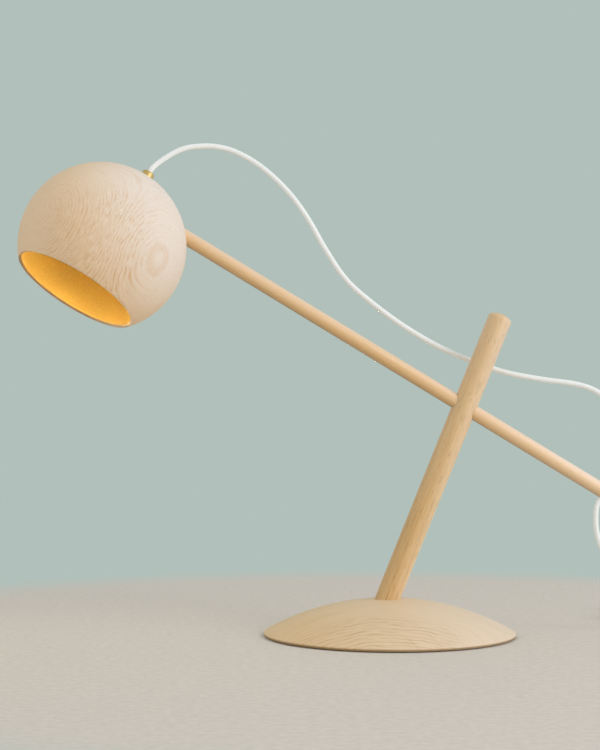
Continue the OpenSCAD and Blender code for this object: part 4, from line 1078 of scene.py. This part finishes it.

# %% [markdown]
# ## Putting it together
# Each new piece in the list gets its finish, takes the place of its solid and rides on the body that its
# solid belongs to. The cords get the sheath's finish. The solids that stay get the finish of their slot.

# %% Dress the pieces
dressing = [
    (ball_shade, shade_ash, "pale_ash_wood", "head", ["shade"]),
    (domed_base, base_ash, "ash_wood", "stand", ["base"]),
    (lean_post, post_ash, "ash_wood", "stand", ["post"]),
    (slide_arm, arm_ash, "ash_wood", "arm", ["arm"]),
    (brass_gland, brass, "brass", "head", ["cord_gland"]),
    (bulb_shell, frosted, "frosted_glass", "head", ["bulb_glass"]),
    (switch_tray, moulded, "white_plastic", "stand", ["switch_base"]),
    (switch_lid, moulded, "white_plastic", "stand", ["switch_cover"]),
    (rocker_key, moulded, "white_plastic", "rocker", ["switch_rocker"]),
    (sleeve_pieces[0], moulded, "white_plastic", "stand", ["switch_sleeves"]),
    (sleeve_pieces[1], moulded, "white_plastic", "stand", ["switch_sleeves"]),
    (plug_sleeve, moulded, "white_plastic", "stand", ["plug_relief"]),
    (plug_shell, moulded, "white_plastic", "stand", ["plug_body"]),
    (pins[0], steel, "steel", "stand", ["plug_pins"]),
    (pins[1], steel, "steel", "stand", ["plug_pins"]),
    (coil_strap, strap, "grey_strap", "stand", ["coil_tie"]),
]
for piece, finish, slot_name, body, replaced in dressing:
    piece.data.materials.clear()
    piece.data.materials.append(finish)
    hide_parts(*replaced)
    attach(piece, body)
for cord in (flex_over, flex_drop, flex_stored):
    cord.data.materials.clear()
    cord.data.materials.append(sheath)
for part in frame["record"]["subparts"]:
    for slot in nodes[part["node"]].material_slots:
        slot.material = finish_of_slot[part["material_slot"]]
print("dressed", len(dressing), "pieces and", len(nodes), "solids")

# %% [markdown]
# ## The floor
# The floor is a wide disc, pale where the lamp stands, which fades into the colour of the backdrop, so that
# no edge shows behind the lamp. The camera sees the backdrop's colour, also in reflections and through glass,
# but that colour doesn't light the wood.

# %% Lay the floor
BACKDROP = paint("#B1C0BA")
FLOOR_R, FADE_FROM, FADE_TO = 6, 0.55, 0.75
SPECKLE_MM = 7


def seen_directly(tree):
    """1 for what the camera sees, also in reflections and through glass, and 0 for what only gives light"""
    ray = add(tree, "LightPath", {}).node.outputs
    mirrored = add(tree, "Math", (ray["Is Camera Ray"], ray["Is Glossy Ray"]), operation="MAXIMUM")
    return add(tree, "Math", (mirrored, ray["Is Transmission Ray"]), operation="MAXIMUM")


bpy.ops.mesh.primitive_circle_add(vertices=128, radius=FLOOR_R, fill_type="NGON", location=(0, 0, 0))
floor = bpy.context.object
floor.name = "floor"
# pale honed stone: a faint speckle and almost no gloss
pale, tree = new_finish("pale_stone_floor", Roughness=0.8, Specular_IOR_Level=0.2)
shader = tree.nodes["Principled BSDF"]
here = own_space(tree)
speckle = add(tree, "TexNoise", {"Vector": here, "Scale": 1000 / SPECKLE_MM, "Detail": 6.0})
stone = add(tree, "ValToRGB", {"Fac": speckle}, stops=[(NOISE_LOW, "#D7D0C4"), (NOISE_HIGH, "#E1DAD0")])
tree.links.new(stone, shader.inputs["Base Color"])
away = add(tree, "VectorMath", (here,), operation="LENGTH")
fade = add(tree, "MapRange", (away, FADE_FROM, FADE_TO), interpolation_type="SMOOTHSTEP")
fade = add(tree, "Math", (fade, seen_directly(tree)), operation="MULTIPLY")
glow = add(tree, "Emission", {"Color": BACKDROP, "Strength": 1.0})
blend_floor = add(tree, "MixShader", (fade, shader.outputs[0], glow))
tree.links.new(blend_floor, tree.nodes["Material Output"].inputs["Surface"])
floor.data.materials.append(pale)
print("floor", 2 * FLOOR_R, "m wide")

# %% [markdown]
# ## Light
# The world gives an even soft daylight, and the camera sees the backdrop's colour in its place, as on the
# floor. One large soft lamp from the right front models the round forms, and a weak one from the left keeps
# the shadows open.

# %% Light the lamp
DAYLIGHT = (0.65, 0.655, 0.655, 1)
AIM = (-0.05, 0, 0.25)
world = bpy.data.worlds.new("soft_backdrop")
bpy.context.scene.world = world
world.use_nodes = True
tree = world.node_tree
sky = add(tree, "Mix", {0: seen_directly(tree), 6: DAYLIGHT, 7: BACKDROP}, data_type="RGBA")
tree.links.new(sky, tree.nodes["Background"].inputs["Color"])


def soft_lamp(name, place, size, watts, colour):
    bpy.ops.object.light_add(type="AREA", location=place)
    lamp = bpy.context.object
    lamp.name = name
    lamp.data.size = size
    lamp.data.energy = watts
    lamp.data.color = paint(colour)[:3]
    lamp.rotation_euler = (Vector(AIM) - Vector(place)).to_track_quat("-Z", "Y").to_euler()


soft_lamp("key", (1.95, -1.3, 1.1), 1.4, 24, "#FEFDFF")
soft_lamp("fill", (-1.8, -1.6, 1.2), 1.6, 3, "#FFFFFF")
bpy.context.scene.view_settings.view_transform = "Standard"
print("lights set")
